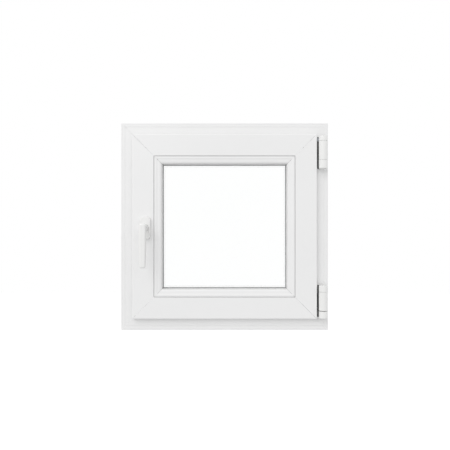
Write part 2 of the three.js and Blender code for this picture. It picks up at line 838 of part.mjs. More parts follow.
function stayArm() {
  const crankX = hingeRebateX + stayCrankGap;
  const crankEnd = windowWidth / 2 - frameRebateHeight - fit;
  const knuckle = boredBarrel(knuckleLow, knuckleHigh, hingePinRadius + fit);
  const [neck, plate] = hingeCrank(crankX, stayPlateLow, stayPlateHigh);
  const stayHigh = stayLow + stayThickness;
  const half = stayWidth / 2;
  const crank = block([crankX, plateFront, stayLow], [crankEnd, grooveAxisY + half, stayHigh]);
  const arm = block([stayPinX, grooveAxisY - half, stayLow], [crankEnd, grooveAxisY + half, stayHigh]);
  const eye = roundBar('z', half, stayLow, stayHigh, [stayPinX, grooveAxisY]);
  const pin = roundBar('z', stayPinRadius, topRebateZ + 1, stayLow + 1, [stayPinX, grooveAxisY]);
  return join(knuckle, neck, plate, crank, arm, eye, pin);
}

// A plate over the hardware groove with the slot that the arm's end pin runs in
function stayGuide() {
  const low = topRebateZ + fit;
  const high = low + stayGuideThickness;
  const half = hardwareGrooveWidth / 2 + 2;
  const plate = block(
    [stayPinX - stayGuideLength / 2, grooveAxisY - half, low],
    [stayPinX + stayGuideLength / 2, grooveAxisY + half, high],
  );
  const reach = stayPinRadius + staySlotPlay;
  const slot = block(
    [stayPinX - reach - stayStraighten, grooveAxisY - reach, low - overrun],
    [stayPinX + reach + staySlotTravel, grooveAxisY + reach, high + overrun],
  );
  return cut(plate, slot);
}

function addHinges() {
  const axis = [hingeX, hingeY];
  add(windowGroup, 'bottom_hinge_bearing', bottomHingeBearing(), coated);
  add(windowGroup, 'bottom_hinge_swivel', bottomHingeSwivel(), zinc);
  add(windowGroup, 'bottom_hinge_band', bottomHingeBand(), coated);
  add(windowGroup, 'bottom_hinge_cap', bottomHingeCap(), coated);
  add(windowGroup, 'top_hinge_bearing', topHingeBearing(), coated);
  const topPin = roundBar('z', hingePinRadius, topCapLow + capLip + fit, knuckleHigh - fit, axis);
  add(windowGroup, 'top_hinge_pin', topPin, steel);
  add(windowGroup, 'top_hinge_cap', topHingeCap(), coated);
  add(windowGroup, 'stay_arm', stayArm(), zinc);
  add(windowGroup, 'stay_arm_guide', stayGuide(), zinc);
}

// ---------- Locking gear ----------

// A plate in the mouth of the groove, slotted for each cam's travel
function faceplate(from, to, cams) {
  const half = hardwareGrooveWidth / 2 - fit;
  const low = sashRebate + fit;
  const high = low + faceplateThickness;
  const plate = block([from, grooveAxisY - half, low], [to, grooveAxisY + half, high]);
  const reach = camRadius + camSlotPlay;
  const slots = cams.map((at) => block(
    [at - reach, grooveAxisY - reach, low - overrun],
    [at + rodTravel + reach, grooveAxisY + reach, high + overrun],
  ));
  return cut(plate, ...slots);
}

// A flat rod behind the faceplate with its cams
function driveRod(from, to, cams) {
  const half = hardwareGrooveWidth / 2 - 2 * fit;
  const bar = block([from, grooveAxisY - half, rodOutside], [to, grooveAxisY + half, rodInside]);
  const pins = cams.map((at) => (
    roundBar('z', camRadius, sashRebate - camProud, rodOutside + 1, [at, grooveAxisY])
  ));
  return join(bar, ...pins);
}

// The teeth on the side rod, placed so that a gap meets the pinion's tooth at rest
function rack() {
  const pitch = 2 * rodTravel / pinionTeeth;
  const first = Math.ceil((rodTravel + pinionPitchRadius) / pitch);
  const last = Math.ceil(pinionPitchRadius / pitch);
  const tip = rodInside + toothHeight - 0.1;
  const points = [];
  for (let k = -first; k < last; k += 1) {
    const at = handleAlong + (k + 0.5) * pitch;
    points.push([at - toothRoot / 2, rodInside], [at - toothTip / 2, tip]);
    points.push([at + toothTip / 2, tip], [at + toothRoot / 2, rodInside]);
  }
  const low = rodInside - rodThickness / 2;
  const strip = outline([[points[0][0], low], ...points, [points[points.length - 1][0], low]]);
  const half = pinionThickness / 2;
  return panel(strip, grooveAxisY - half, grooveAxisY + half);
}

function pinion() {
  const root = pinionPitchRadius - toothHeight / 2 - 0.2;
  const tip = root + toothHeight;
  const points = [];
  for (let k = 0; k < pinionTeeth; k += 1) {
    const middle = Math.PI + (2 * Math.PI * k) / pinionTeeth;
    const corners = [[root, -toothRoot], [tip, -toothTip], [tip, toothTip], [root, toothRoot]];
    corners.forEach(([radius, width]) => {
      const angle = middle + width / 2 / radius;
      points.push([radius * Math.cos(angle), radius * Math.sin(angle)]);
    });
  }
  const shape = outline(points);
  const half = spindleWidth / 2 + fit;
  shape.holes.push(rectangle([-half, -half], [half, half], 0, THREE.Path));
  return panel(shape, -pinionThickness / 2, pinionThickness / 2);
}

function gearboxCase() {
  const low = rodInside + toothHeight + 2 * fit;
  const half = gearboxThickness / 2;
  const box = block(
    [handleAlong - gearboxLength / 2, grooveAxisY - half, low],
    [handleAlong + gearboxLength / 2, grooveAxisY + half, spindleInset + gearboxBack],
  );
  const centre = [handleAlong, 0, spindleInset];
  const room = pinionThickness / 2 + fit;
  const cavityRadius = pinionPitchRadius + toothHeight;
  const cavity = roundBar('y', cavityRadius, grooveAxisY - room, grooveAxisY + room, centre, 36);
  const through = [grooveAxisY - half - overrun, grooveAxisY + half + overrun];
  const spindleBore = roundBar('y', spindleWidth / Math.SQRT2 + fit, ...through, centre);
  const screwBores = [-1, 1].map((end) => {
    const at = handleAlong + end * screwSpacing / 2;
    return roundBar('y', screwRadius + fit, ...through, [at, 0, spindleInset], 16);
  });
  return cut(box, cavity, spindleBore, ...screwBores);
}

// A striker plate on the frame's rebate floor: walled behind the cam and at both ends, open to the room
function keep(cam) {
  const from = cam - camRadius - keepEndPlay - keepWall;
  const to = cam + rodTravel + camRadius + keepEndPlay + keepWall;
  const back = grooveAxisY + camRadius + keepPlay + keepWall;
  const front = back - keepWidth;
  const low = frameRebateHeight + fit;
  const high = low + keepWallHeight;
  const inside = low + keepBase / 2;
  const base = block([from, front, low], [to, back, low + keepBase]);
  const backWall = block([from, back - keepWall, inside], [to, back, high]);
  const endWalls = [[from, from + keepWall], [to - keepWall, to]].map(([x0, x1]) => (
    block([x0, front, inside], [x1, back, high])
  ));
  return join(base, backWall, ...endWalls);
}

function addLockingGear() {
  const sideEnd = windowHeight / 2 - sashRebate;
  const topEnd = windowWidth / 2 - sashRebate;
  const upperCam = camInset - sideEnd;
  const lowerCam = sideEnd - camInset - rodTravel;
  const topCam = topEnd - camInset - rodTravel;
  const bottomCam = camInset - topEnd;
  const { handle, top, bottom } = sideGroups;
  const sideRodEnd = sideEnd - sideRodInset;
  const sideRod = driveRod(-sideRodEnd, sideRodEnd - rodTravel, [upperCam, lowerCam]);
  const half = cornerRodLength / 2;
  add(handle, 'drive_rod_handle_side', join(sideRod, rack()), zinc);
  add(top, 'drive_rod_top', driveRod(topCam - half, topCam + half, [topCam]), zinc);
  add(bottom, 'drive_rod_bottom', driveRod(bottomCam - half, bottomCam + half, [bottomCam]), zinc);
  const plateEnd = sideEnd - faceplateMargin;
  const cornerPlateEnd = topEnd - faceplateMargin;
  const topPlateStart = stayGuideLength / 2 - stayPinX;
  const bottomPlateStart = cornerPlateEnd - 2 * cornerRodLength;
  add(handle, 'faceplate_handle_side', faceplate(-plateEnd, plateEnd, [upperCam, lowerCam]), zinc);
  add(top, 'faceplate_top', faceplate(topPlateStart, cornerPlateEnd, [topCam]), zinc);
  add(bottom, 'faceplate_bottom', faceplate(-cornerPlateEnd, -bottomPlateStart, [bottomCam]), zinc);
  add(handle, 'keep_handle_side_upper', keep(upperCam), zinc);
  add(handle, 'keep_handle_side_lower', keep(lowerCam), zinc);
  add(top, 'keep_top', keep(topCam), zinc);
  add(bottom, 'keep_bottom_tilt', keep(bottomCam), zinc);
  add(handle, 'gearbox_case', gearboxCase(), zinc);
}

// ---------- Handle ----------

function handleLever() {
  const neckBase = -2 * fit - handleBaseDepth;
  const gripBack = -handleGap;
  const neck = roundBar('y', handleNeckRadius, gripBack - 1, neckBase, [0, 0, 0], 32);
  const half = handleGripWidth / 2;
  const tip = half - handleGripTaper;
  const grip = panel(outline([
    [-half, handleGripHead, half - 1],
    [half, handleGripHead, half - 1],
    [half, -handleGripLength / 2],
    [tip, -handleGripLength, tip - 1],
    [-tip, -handleGripLength, tip - 1],
    [-half, -handleGripLength / 2],
  ]), gripBack - handleGripDepth, gripBack);
  const socket = spindleWidth / 2 + fit;
  const hole = block([-socket, neckBase - spindleSocket, -socket], [socket, neckBase + overrun, socket]);
  return cut(join(neck, grip), hole);
}

function handleBase() {
  const inset = handleShell + fit;
  const corner = [handlePlateWidth / 2 - inset, handlePlateHeight / 2 - inset];
  const shape = rectangle(corner.map((v) => -v), corner, handlePlateRound - inset);
  const plate = panel(shape, -handleBaseDepth - fit, -fit);
  const through = [-handleBaseDepth - overrun, overrun];
  const spindleHole = roundBar('y', spindleWidth / Math.SQRT2 + fit, ...through, [0, 0, 0]);
  const screwHoles = [-1, 1].map((end) => (
    roundBar('y', screwRadius + fit, ...through, [0, 0, end * screwSpacing / 2], 16)
  ));
  return cut(plate, spindleHole, ...screwHoles);
}

function handleCover() {
  const corner = [handlePlateWidth / 2, handlePlateHeight / 2];
  const inner = corner.map((v) => v - handleShell);
  const outside = rectangle(corner.map((v) => -v), corner, handlePlateRound);
  const shell = panel(outside, -handlePlateDepth - fit, -fit);
  const inside = panel(
    rectangle(inner.map((v) => -v), inner, handlePlateRound - handleShell),
    -handlePlateDepth - fit + handleShell,
    overrun,
  );
  const hole = [-handlePlateDepth - overrun, overrun];
  const neckHole = roundBar('y', handleNeckRadius + fit, ...hole, [0, 0, 0], 32);
  return cut(shell, inside, neckHole);
}

function handleScrew(z) {
  const seat = -2 * fit - handleBaseDepth;
  const tip = grooveAxisY + gearboxThickness / 2 - sashRoomFace;
  const head = roundBar('y', screwHeadRadius, seat - screwHeadHeight, seat, [0, 0, z], 20);
  const shank = roundBar('y', screwRadius, seat - 1, tip, [0, 0, z], 16);
  return join(head, shank);
}

function addHandle() {
  const handleGroup = new THREE.Group();
  handleGroup.position.set(handleX, sashRoomFace, handleHeight);
  windowGroup.add(handleGroup);
  const neckBase = -2 * fit - handleBaseDepth;
  const spindleStart = neckBase - spindleSocket + fit;
  const spindleEnd = grooveAxisY + gearboxThickness / 2 - sashRoomFace;
  const half = spindleWidth / 2;
  add(handleGroup, 'handle_lever', handleLever(), coated);
  add(handleGroup, 'handle_base', handleBase(), zinc);
  add(handleGroup, 'handle_cover', handleCover(), coated);
  add(handleGroup, 'handle_screw_upper', handleScrew(screwSpacing / 2), steel);
  add(handleGroup, 'handle_screw_lower', handleScrew(-screwSpacing / 2), steel);
  add(handleGroup, 'handle_spindle', block([-half, spindleStart, -half], [half, spindleEnd, half]), steel);
  const gear = pinion().translate(0, grooveAxisY - sashRoomFace, 0);
  add(handleGroup, 'gearbox_pinion', gear, steel);
}

addFrame();
addSash();
addGlazing();
addHinges();
addLockingGear();
addHandle();

export default windowGroup;
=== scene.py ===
# %% [markdown]
# # A white tilt-and-turn window
# The window comes in as a jointed frame of finished parts. The scene keeps the hidden hardware, dresses it,
# and models everything that people see and touch again with softened edges: the plastic bars, the
# glazing beads, the seals, the glass, the handle and the hinges.
# Blender counts in metres and a window maker in millimetres, so one helper turns the one into the other.

# %% Load the frame
import json
import math
from collections import Counter
import bmesh
import bpy
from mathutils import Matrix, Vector

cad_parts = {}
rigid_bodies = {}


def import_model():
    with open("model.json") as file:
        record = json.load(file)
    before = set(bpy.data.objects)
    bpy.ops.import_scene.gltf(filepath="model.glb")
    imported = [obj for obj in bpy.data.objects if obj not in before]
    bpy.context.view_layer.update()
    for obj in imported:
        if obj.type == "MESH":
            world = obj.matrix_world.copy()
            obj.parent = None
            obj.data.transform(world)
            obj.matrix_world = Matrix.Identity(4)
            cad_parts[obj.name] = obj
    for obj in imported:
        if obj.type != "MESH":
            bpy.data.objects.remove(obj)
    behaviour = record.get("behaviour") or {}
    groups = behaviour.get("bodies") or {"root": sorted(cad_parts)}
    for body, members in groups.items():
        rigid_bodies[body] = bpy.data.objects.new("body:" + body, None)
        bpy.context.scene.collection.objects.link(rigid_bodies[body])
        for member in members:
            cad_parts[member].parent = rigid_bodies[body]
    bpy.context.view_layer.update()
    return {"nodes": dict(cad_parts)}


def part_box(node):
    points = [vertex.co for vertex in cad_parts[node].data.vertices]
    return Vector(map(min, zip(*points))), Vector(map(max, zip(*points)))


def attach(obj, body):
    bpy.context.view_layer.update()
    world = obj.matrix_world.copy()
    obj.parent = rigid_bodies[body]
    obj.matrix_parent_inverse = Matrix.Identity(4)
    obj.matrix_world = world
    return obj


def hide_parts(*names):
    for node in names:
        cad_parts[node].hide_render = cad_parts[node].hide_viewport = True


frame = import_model()
scene = bpy.context.scene
scene.view_settings.view_transform = "Standard"

# %% Millimetres
X, Y, Z = AXES = 0, 1, 2


def mm(value):
    return value / 1000


def span(node, axis):
    """A loaded part's lowest and highest place along an axis, 0 to 2, in millimetres."""
    low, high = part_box(node)
    return low[axis] * 1000, high[axis] * 1000


def centre_of(node):
    low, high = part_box(node)
    return [(low[axis] + high[axis]) * 500 for axis in AXES]


window_width = span("frame_sill", X)[1] * 2
window_height = span("frame_head", Z)[1]
middle = window_height / 2
print("window", round(window_width), "x", round(window_height), "mm")

# %% [markdown]
# ## Camera
# The window is seen square on from the room, from its own middle height. A camera that looks straight
# ahead keeps all the bars parallel. The handle and the hinges stand proud of the sash, so at this
# distance they spread a little away from the middle of the view.

# %% Camera
view_distance = 1400                # lens to the frame's room face
seen_width = 1304.3                 # what the view spans at that face
film_width = 36
eye_right, eye_up = 1.45, 4.3       # from the middle of the window
camera_data = bpy.data.cameras.new("camera")
camera_data.sensor_width = film_width
camera_data.lens = film_width * view_distance / seen_width
camera = bpy.data.objects.new("camera", camera_data)
scene.collection.objects.link(camera)
camera.location = (mm(eye_right), mm(span("frame_sill", Y)[0] - view_distance), mm(middle + eye_up))
camera.rotation_euler = (math.radians(90), 0, 0)
scene.camera = camera
print("lens", round(camera_data.lens, 1), "mm")

# %% [markdown]
# ## Light
# White plastic shows its shape only by small differences of shade. Most of the light is even and comes
# from all round, as inside a tent of white cloth. One very wide lamp high on the left gives the small,
# soft shadows below and to the right of what stands proud.
# The world looks pure white where the camera, a reflection or the glass sees it, but lights the window
# with less than that. A Light Path node tells the two apart.

# %% Helpers for nodes
WHITE = (1, 1, 1, 1)


def add_node(tree, kind, **settings):
    """A node with its settings and plain input values filled in."""
    node = tree.nodes.new(f"ShaderNode{kind}")
    for label, value in settings.items():
        if hasattr(node, label):
            setattr(node, label, value)
        else:
            node.inputs[label.replace("_", " ")].default_value = value
    return node


def wire(tree, *joins):
    """Joins sockets, each join given as (from node, its output, to node, its input)."""
    for source, output, target, entry in joins:
        tree.links.new(source.outputs[output], target.inputs[entry])


def calculate(tree, operation, first, second):
    """What a Math node makes of two sockets."""
    node = add_node(tree, "Math", operation=operation)
    tree.links.new(first, node.inputs[0])
    tree.links.new(second, node.inputs[1])
    return node.outputs[0]


def seen_directly(tree):
    """1 for rays from the camera, from a reflection or through glass, 0 for light that falls on things."""
    rays = add_node(tree, "LightPath").outputs
    camera_or_gloss = calculate(tree, "MAXIMUM", rays["Is Camera Ray"], rays["Is Glossy Ray"])
    return calculate(tree, "MAXIMUM", camera_or_gloss, rays["Is Transmission Ray"])


def show_either(tree, lit, seen, output):
    """Shows the second shader to what looks at it and the first to the light that falls on things."""
    choice = add_node(tree, "MixShader")
    tree.links.new(seen_directly(tree), choice.inputs["Fac"])
    wire(tree, (lit, 0, choice, 1), (seen, 0, choice, 2), (choice, 0, output, "Surface"))


# %% World
tent_light, tent_look = 0.875, 1.0
world = bpy.data.worlds.new("light_tent")
scene.world = world
world.use_nodes = True
world.node_tree.nodes.clear()
show_either(
    world.node_tree,
    add_node(world.node_tree, "Background", Color=WHITE, Strength=tent_light),
    add_node(world.node_tree, "Background", Color=WHITE, Strength=tent_look),
    add_node(world.node_tree, "OutputWorld"))
print("world", world.name)

# %% Lamp
lamp_place = Vector((-3.6, -5.4, 4.6))
lamp_data = bpy.data.lights.new("key_lamp", "AREA")
lamp_data.shape = "DISK"
lamp_data.size = 5.6
lamp_data.energy = 135
key_lamp = bpy.data.objects.new("key_lamp", lamp_data)
scene.collection.objects.link(key_lamp)
key_lamp.location = lamp_place
towards_window = Vector((0, 0, mm(middle))) - lamp_place
key_lamp.rotation_euler = towards_window.to_track_quat("-Z", "Y").to_euler()
print("lamp", key_lamp.name)

# %% [markdown]
# ## Working by hand, in code
# Every new piece is made with the tools that a modeller uses in the viewport. The helpers below do
# what the hand does there: let go of everything, pick faces or edges by their place, draw an outline by
# extruding one point from corner to corner, and put a finished piece in order.

# %% Holding and letting go
def let_go():
    """Deselects everything. The loaded parts come in selected, and an operator acts on all that is."""
    for held in list(bpy.context.selected_objects):
        held.select_set(False)
    bpy.context.view_layer.objects.active = None


def hold(piece):
    let_go()
    piece.select_set(True)
    bpy.context.view_layer.objects.active = piece


def take(everything=True):
    """In edit mode, selects the whole mesh or nothing."""
    bpy.ops.mesh.select_all(action="SELECT" if everything else "DESELECT")


def enter(piece):
    hold(piece)
    bpy.ops.object.mode_set(mode="EDIT")
    take(False)


def leave():
    bpy.ops.object.mode_set(mode="OBJECT")


let_go()
print("selected", len(bpy.context.selected_objects))

# %% Picking by place
def pick(kind, test):
    """In edit mode, picks the points, edges or faces for which test(element) is true."""
    bpy.ops.mesh.select_mode(type=kind)
    take(False)
    shape = bmesh.from_edit_mesh(bpy.context.object.data)
    picked = [element for element in {"VERT": shape.verts, "EDGE": shape.edges, "FACE": shape.faces}[kind]
              if test(element)]
    for element in picked:
        element.select_set(True)
    shape.select_flush_mode()
    bmesh.update_edit_mesh(bpy.context.object.data, loop_triangles=False, destructive=False)
    return len(picked)


def near(value, wanted, within=0.02):
    """True if a length in metres is within a few hundredths of a millimetre of the one wanted."""
    return abs(value - mm(wanted)) < mm(within)


def edge_middle(edge):
    return (edge.verts[0].co + edge.verts[1].co) / 2


def reach(edge):
    """How far an edge reaches in depth, in metres."""
    return abs(edge.verts[0].co.y - edge.verts[1].co.y)


# %% Drawing an outline
def extrude_by(step):
    """In edit mode, extrudes what is picked by a step in metres."""
    bpy.ops.mesh.extrude_region_move(TRANSFORM_OT_translate={"value": step})


def draw_loop(places):
    """In edit mode, extrudes a point along the places, in metres, back to where it began.

    The point is a small plane whose corners are merged."""
    bpy.ops.mesh.select_mode(type="VERT")
    take(False)
    bpy.ops.mesh.primitive_plane_add(size=mm(1), location=places[0])
    bpy.ops.mesh.merge(type="CENTER")
    for here, there in zip(places, places[1:] + places[:1]):
        extrude_by(Vector(there) - Vector(here))
    bpy.ops.mesh.select_linked()
    bpy.ops.mesh.remove_doubles(threshold=mm(0.005))


def start_piece(name):
    """A new, empty piece at the origin, left in edit mode."""
    let_go()
    bpy.ops.mesh.primitive_plane_add(size=mm(1))
    piece = bpy.context.object
    piece.name = piece.data.name = name
    bpy.ops.object.mode_set(mode="EDIT")
    bpy.ops.mesh.delete(type="VERT")
    return piece


# %% [markdown]
# Some chores come back with every piece. Its place goes into its mesh, its faces turn outwards and its
# edges are counted, since an open edge means a hole. Last, a Weighted Normal modifier lets the big
# faces decide the shading; a hand-marked sharp edge could do that too, but not for every rounding.

# %% Putting a piece in order
def settle(piece, angle=32):
    """Puts a piece's place into its mesh, points its faces outwards and smooths its gentle edges."""
    hold(piece)
    bpy.ops.object.transform_apply(location=True, rotation=True, scale=True)
    bpy.ops.object.mode_set(mode="EDIT")
    take()
    bpy.ops.mesh.remove_doubles(threshold=mm(0.002))
    bpy.ops.mesh.normals_make_consistent(inside=False)
    leave()
    bpy.ops.object.shade_smooth_by_angle(angle=math.radians(angle))
    return piece


def open_edges(piece):
    """How many edges don't have exactly two faces. A closed piece has none."""
    faces_at = Counter(key for face in piece.data.polygons for key in face.edge_keys)
    return sum(1 for faces in faces_at.values() if faces != 2)


def report(*pieces):
    for piece in pieces:
        print(f"{piece.name}: {len(piece.data.polygons)} faces, {open_edges(piece)} open edges")


def even_shading(piece):
    """Lets the big flat faces decide the shading, so that a rounded edge doesn't tint the flat beside it."""
    hold(piece)
    even = piece.modifiers.new("even", "WEIGHTED_NORMAL")
    even.keep_sharp = True
    bpy.ops.object.modifier_apply(modifier=even.name)


def finished(piece, body, slot_name, material, *nodes):
    """Says what a piece rides on, which finish it has and which loaded parts it stands for."""
    even_shading(piece)
    piece.data.materials.clear()
    piece.data.materials.append(material)
    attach(piece, body)
    if nodes:
        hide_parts(*nodes)
    report(piece)


# %% [markdown]
# ## Plastic bars
# A window frame is four lengths of hollow plastic profile, cut at 45 degrees and welded at the corners.
# The profile could be a curve with a bevel, but a drawn section that is extruded and then sawn is how
# the bars are really made, and it leaves real chambers for the steel inside. A section is a list of
# corners (inwards, depth, rounding): inwards counts from the window's outer edge, and depth from the
# middle of the frame towards the open air.

# %% Drawing a section
def round_corners(corners):
    """In edit mode, rounds the drawn outline's corners with a vertex bevel, one radius at a time."""
    radii = sorted({corner[2] for corner in corners if len(corner) > 2})
    for radius in radii:
        wanted = [corner for corner in corners if len(corner) > 2 and corner[2] == radius]
        pick("VERT", lambda point: any(
            near(point.co.z, corner[0]) and near(point.co.y, corner[1]) for corner in wanted))
        segments = 1 if radius < 0.5 else 2 if radius < 1.5 else 4
        bpy.ops.mesh.bevel(offset=mm(radius), segments=segments, affect="VERTICES")


def draw_section(name, corners, place):
    """A new piece, in edit mode, with a rounded outline. place(inwards, depth) is a corner in space."""
    piece = start_piece(name)
    draw_loop([place(inwards, depth) for inwards, depth, *_ in corners])
    bpy.ops.mesh.edge_face_add()
    round_corners(corners)
    take()
    bpy.ops.mesh.delete(type="ONLY_FACE")
    return piece


# %% Section to bar
def rough_bar(name, corners, chambers):
    """A straight bar of the section, square at its ends, along the sill side. It stays in edit mode."""
    def at_the_start(inwards, depth):
        return (mm(-window_width / 2), mm(depth), mm(inwards))

    piece = draw_section(name, corners, at_the_start)
    for low_in, low_deep, high_in, high_deep in chambers:
        draw_loop([at_the_start(*corner) for corner in (
            (low_in, low_deep), (high_in, low_deep), (high_in, high_deep), (low_in, high_deep))])
    take()
    bpy.ops.mesh.fill(use_beauty=True)
    take()
    extrude_by((mm(window_width), 0, 0))
    take()
    bpy.ops.mesh.normals_make_consistent(inside=False)
    return piece


def saw_mitres(gap):
    """In edit mode, cuts both ends at 45 degrees, as a mitre saw does, and closes the cuts."""
    for side in (-1, 1):
        take()
        bpy.ops.mesh.bisect(
            plane_co=(side * mm(window_width / 2 - gap), 0, 0), plane_no=(side, 0, 1),
            use_fill=True, clear_outer=True, clear_inner=False, threshold=mm(0.001))


def ease_weld(gap, depths, width):
    """In edit mode, softens the sawn edges on the faces at the given depths: the fine line of a weld."""
    for side in (-1, 1):
        def on_weld(point):
            return abs(side * point.co.x + point.co.z - mm(window_width / 2 - gap)) < mm(0.02)

        picked = pick("EDGE", lambda edge: all(on_weld(point) for point in edge.verts) and any(
            all(near(point.co.y, depth) for point in edge.verts) for depth in depths))
        if picked:
            bpy.ops.mesh.bevel(offset=mm(width), segments=2, affect="EDGES", clamp_overlap=True)


def mitred_bar(name, corners, chambers, gap, weld_depths, weld_width):
    """A bar of the section, sawn at both ends and eased where the weld shows."""
    bar = rough_bar(name, corners, chambers)
    saw_mitres(gap)
    ease_weld(gap, weld_depths, weld_width)
    leave()
    return settle(bar)


frame_weld, sash_weld, bead_joint = 0.03, 0.08, 0.12
print("gaps at the corners", frame_weld, sash_weld, bead_joint, "mm for each bar")

# %% [markdown]
# ## Outer frame
# The outer frame is an L in section: a broad box against the wall and a leg on the weather side that
# the sash closes onto. The section below adds what a plain box lacks: rounded nosings, the fine groove
# in the room face, three shallow grooves in the outer edge where fixings clip in, and the slot that
# holds the seal. The bar is drawn and sawn once, then copied round the window. The chambers and grooves
# differ by a tenth or two, because corners that stand exactly in line can leave a triangle without any
# area on the sawn end, and a Boolean throws such a triangle away and leaves a hole.

# %% Frame section
rebate_floor = 44
leg_thickness = 14                  # the frame's leg, the sash's leg and its lap are equally thick
leg_height = span("frame_sill", Z)[1]
room_face, weather_face = span("frame_sill", Y)
leg_face = weather_face - leg_thickness
slot_low, slot_high, slot_floor = 60.85, 63.15, leg_face + 3.3
frame_corners = [
    (0, room_face, 2),
    (4, room_face), (4.4, room_face + 0.4), (4.8, room_face),
    (11, room_face), (11.8, room_face + 1), (12.6, room_face),
    (rebate_floor, room_face, 2),
    (rebate_floor, -2), (rebate_floor - 0.8, -1.2), (rebate_floor - 0.8, 0.2), (rebate_floor, 1),
    (rebate_floor, leg_face, 0.6),
    (slot_low, leg_face), (slot_low, slot_floor), (slot_high, slot_floor), (slot_high, leg_face),
    (leg_height, leg_face, 1),
    (leg_height, weather_face, 3),
    (4, weather_face), (3.4, weather_face - 0.6), (2.8, weather_face),
    (0, weather_face, 1),
    (0, 22), (1.2, 21.5), (1.2, 15.5), (0, 15),
    (0, 3.5), (1.1, 3), (1.1, -3), (0, -3.5),
    (0, -15), (1.3, -15.5), (1.3, -21.5), (0, -22),
]
frame_chambers = [
    (3.1, -32, 41, -16),
    (2.6, -13, 41.3, 7),
    (3.3, 10, 40.8, 19.5),
    (2.4, 27, 62.7, 32),
]
print("frame section", len(frame_corners), "corners and", len(frame_chambers), "chambers")

# %% Frame bar
weld_softness = 0.1
frame_bar = mitred_bar(
    "frame_bar", frame_corners, frame_chambers, frame_weld, (weather_face, leg_face), weld_softness)
report(frame_bar)

# %% [markdown]
# ## Round the window
# The same bar serves all four sides. Each copy gets its own mesh and is turned about the middle of the
# window. The turn is made in edit mode, so that the piece stays at the origin with its place in its mesh.

# %% Turning copies to their sides
quarter_turns = {"bottom": 0, "handle": 1, "top": 2, "hinge": 3}


def turned_copy(pattern, name, side):
    """A copy of a sill-side piece with its own mesh, turned about Y round the window's middle."""
    copy = pattern.copy()
    copy.data = pattern.data.copy()
    copy.name = copy.data.name = name
    scene.collection.objects.link(copy)
    hold(copy)
    bpy.ops.object.mode_set(mode="EDIT")
    take()
    for _ in range(quarter_turns[side]):
        bpy.ops.transform.rotate(
            value=math.radians(-90), orient_axis="Y", center_override=(0, 0, mm(middle)))
    leave()
    return copy


def drop(pattern):
    """Deletes a pattern once its copies are made."""
    hold(pattern)
    bpy.ops.object.delete()


def all_round(pattern, nodes):
    """Copies a bar to the four sides, named after the loaded parts, and throws the pattern away."""
    copies = {side: turned_copy(pattern, f"{node}_profile", side) for side, node in nodes.items()}
    drop(pattern)
    report(*copies.values())
    return copies


frame_sides = {"bottom": "frame_sill", "handle": "frame_handle_jamb",
               "top": "frame_head", "hinge": "frame_hinge_jamb"}
frame_bars = all_round(frame_bar, frame_sides)

# %% [markdown]
# ## Sash
# The opening leaf is a second profile. Its lap lies over the frame's face, the groove in its back holds
# the locking gear, and a small slot near the glass takes the foot of the glazing bead. The outer nose is
# rounded more than the rest, because it is what hands and cloths run along.

# %% Sash section
lap_edge, leg_tip = span("sash_bottom_rail", Z)
sash_face, sash_back = span("sash_bottom_rail", Y)
bead_width = 23.5
bead_line = span("glazing_bead_bottom", Z)[1] - bead_width
leg_inside = sash_back - leg_thickness
lap_back = sash_face + leg_thickness
gear_mouth, gear_floor, gear_near, gear_far = 56, 66, -34, -18      # the groove for the locking gear
sash_corners = [
    (lap_edge, sash_face, 3),
    (lap_edge, lap_back, 1),
    (lap_edge + 4.725, lap_back), (lap_edge + 4.725, lap_back - 3.3),
    (lap_edge + 6.775, lap_back - 3.3), (lap_edge + 6.775, lap_back),
    (gear_mouth, lap_back),
    (gear_mouth, gear_near, 0.8), (gear_floor, gear_near, 0.5),
    (gear_floor, gear_far, 0.5), (gear_mouth, gear_far, 0.8),
    (gear_mouth, sash_back, 2),
    (leg_tip, sash_back, 4),
    (leg_tip, leg_inside, 1),
    (bead_line, leg_inside, 0.5),
    (bead_line, -28.7), (bead_line - 3.3, -28.7), (bead_line - 3.3, -32.5), (bead_line, -32.5),
    (bead_line, sash_face, 0.8),
]
sash_chambers = [
    (lap_edge + 3, -50, bead_line - 6, -45),
    (gear_floor + 3, -33.7, bead_line - 5.8, -18.3),
    (gear_mouth + 3, -15, bead_line - 6.3, 2.6),
    (58.7, 6, leg_tip - 3, 14),
]
print("sash face", round(bead_line - lap_edge, 1), "mm wide")

# %% Sash bars
sash_bar = mitred_bar(
    "sash_bar", sash_corners, sash_chambers, sash_weld, (sash_face, sash_back), weld_softness)
sash_sides = {"bottom": "sash_bottom_rail", "handle": "sash_handle_stile",
              "top": "sash_top_rail", "hinge": "sash_hinge_stile"}
sash_bars = all_round(sash_bar, sash_sides)

# %% [markdown]
# ## Cuts in the handle's bar
# The fitter mills a pocket for the gearbox through the groove's floor and drills three holes for the
# handle: one for its spindle and one for each screw. A Boolean does here what the mill and the drill do.
# The same helpers later hollow other pieces.

# %% Cutting tools
def box_tool(low, high):
    """A cube that reaches from one corner to the other, in millimetres."""
    let_go()
    size = [mm(high[axis] - low[axis]) for axis in AXES]
    place = [mm((high[axis] + low[axis]) / 2) for axis in AXES]
    bpy.ops.mesh.primitive_cube_add(size=1, location=place, scale=size)
    return bpy.context.object


def box_piece(name, low, high):
    """A box that is to become a piece of its own, with its place in its mesh."""
    piece = box_tool(low, high)
    piece.name = piece.data.name = name
    bpy.ops.object.transform_apply(location=True, rotation=True, scale=True)
    return piece


def rod_tool(radius, start, end, along="Y", sides=32):
    """A round rod between two places in millimetres that differ only along one axis."""
    let_go()
    turn = {"Y": (math.pi / 2, 0, 0), "Z": (0, 0, 0)}[along]
    length = max(abs(end[axis] - start[axis]) for axis in AXES)
    place = [mm((start[axis] + end[axis]) / 2) for axis in AXES]
    bpy.ops.mesh.primitive_cylinder_add(
        vertices=sides, radius=mm(radius), depth=mm(length), location=place, rotation=turn)
    return bpy.context.object


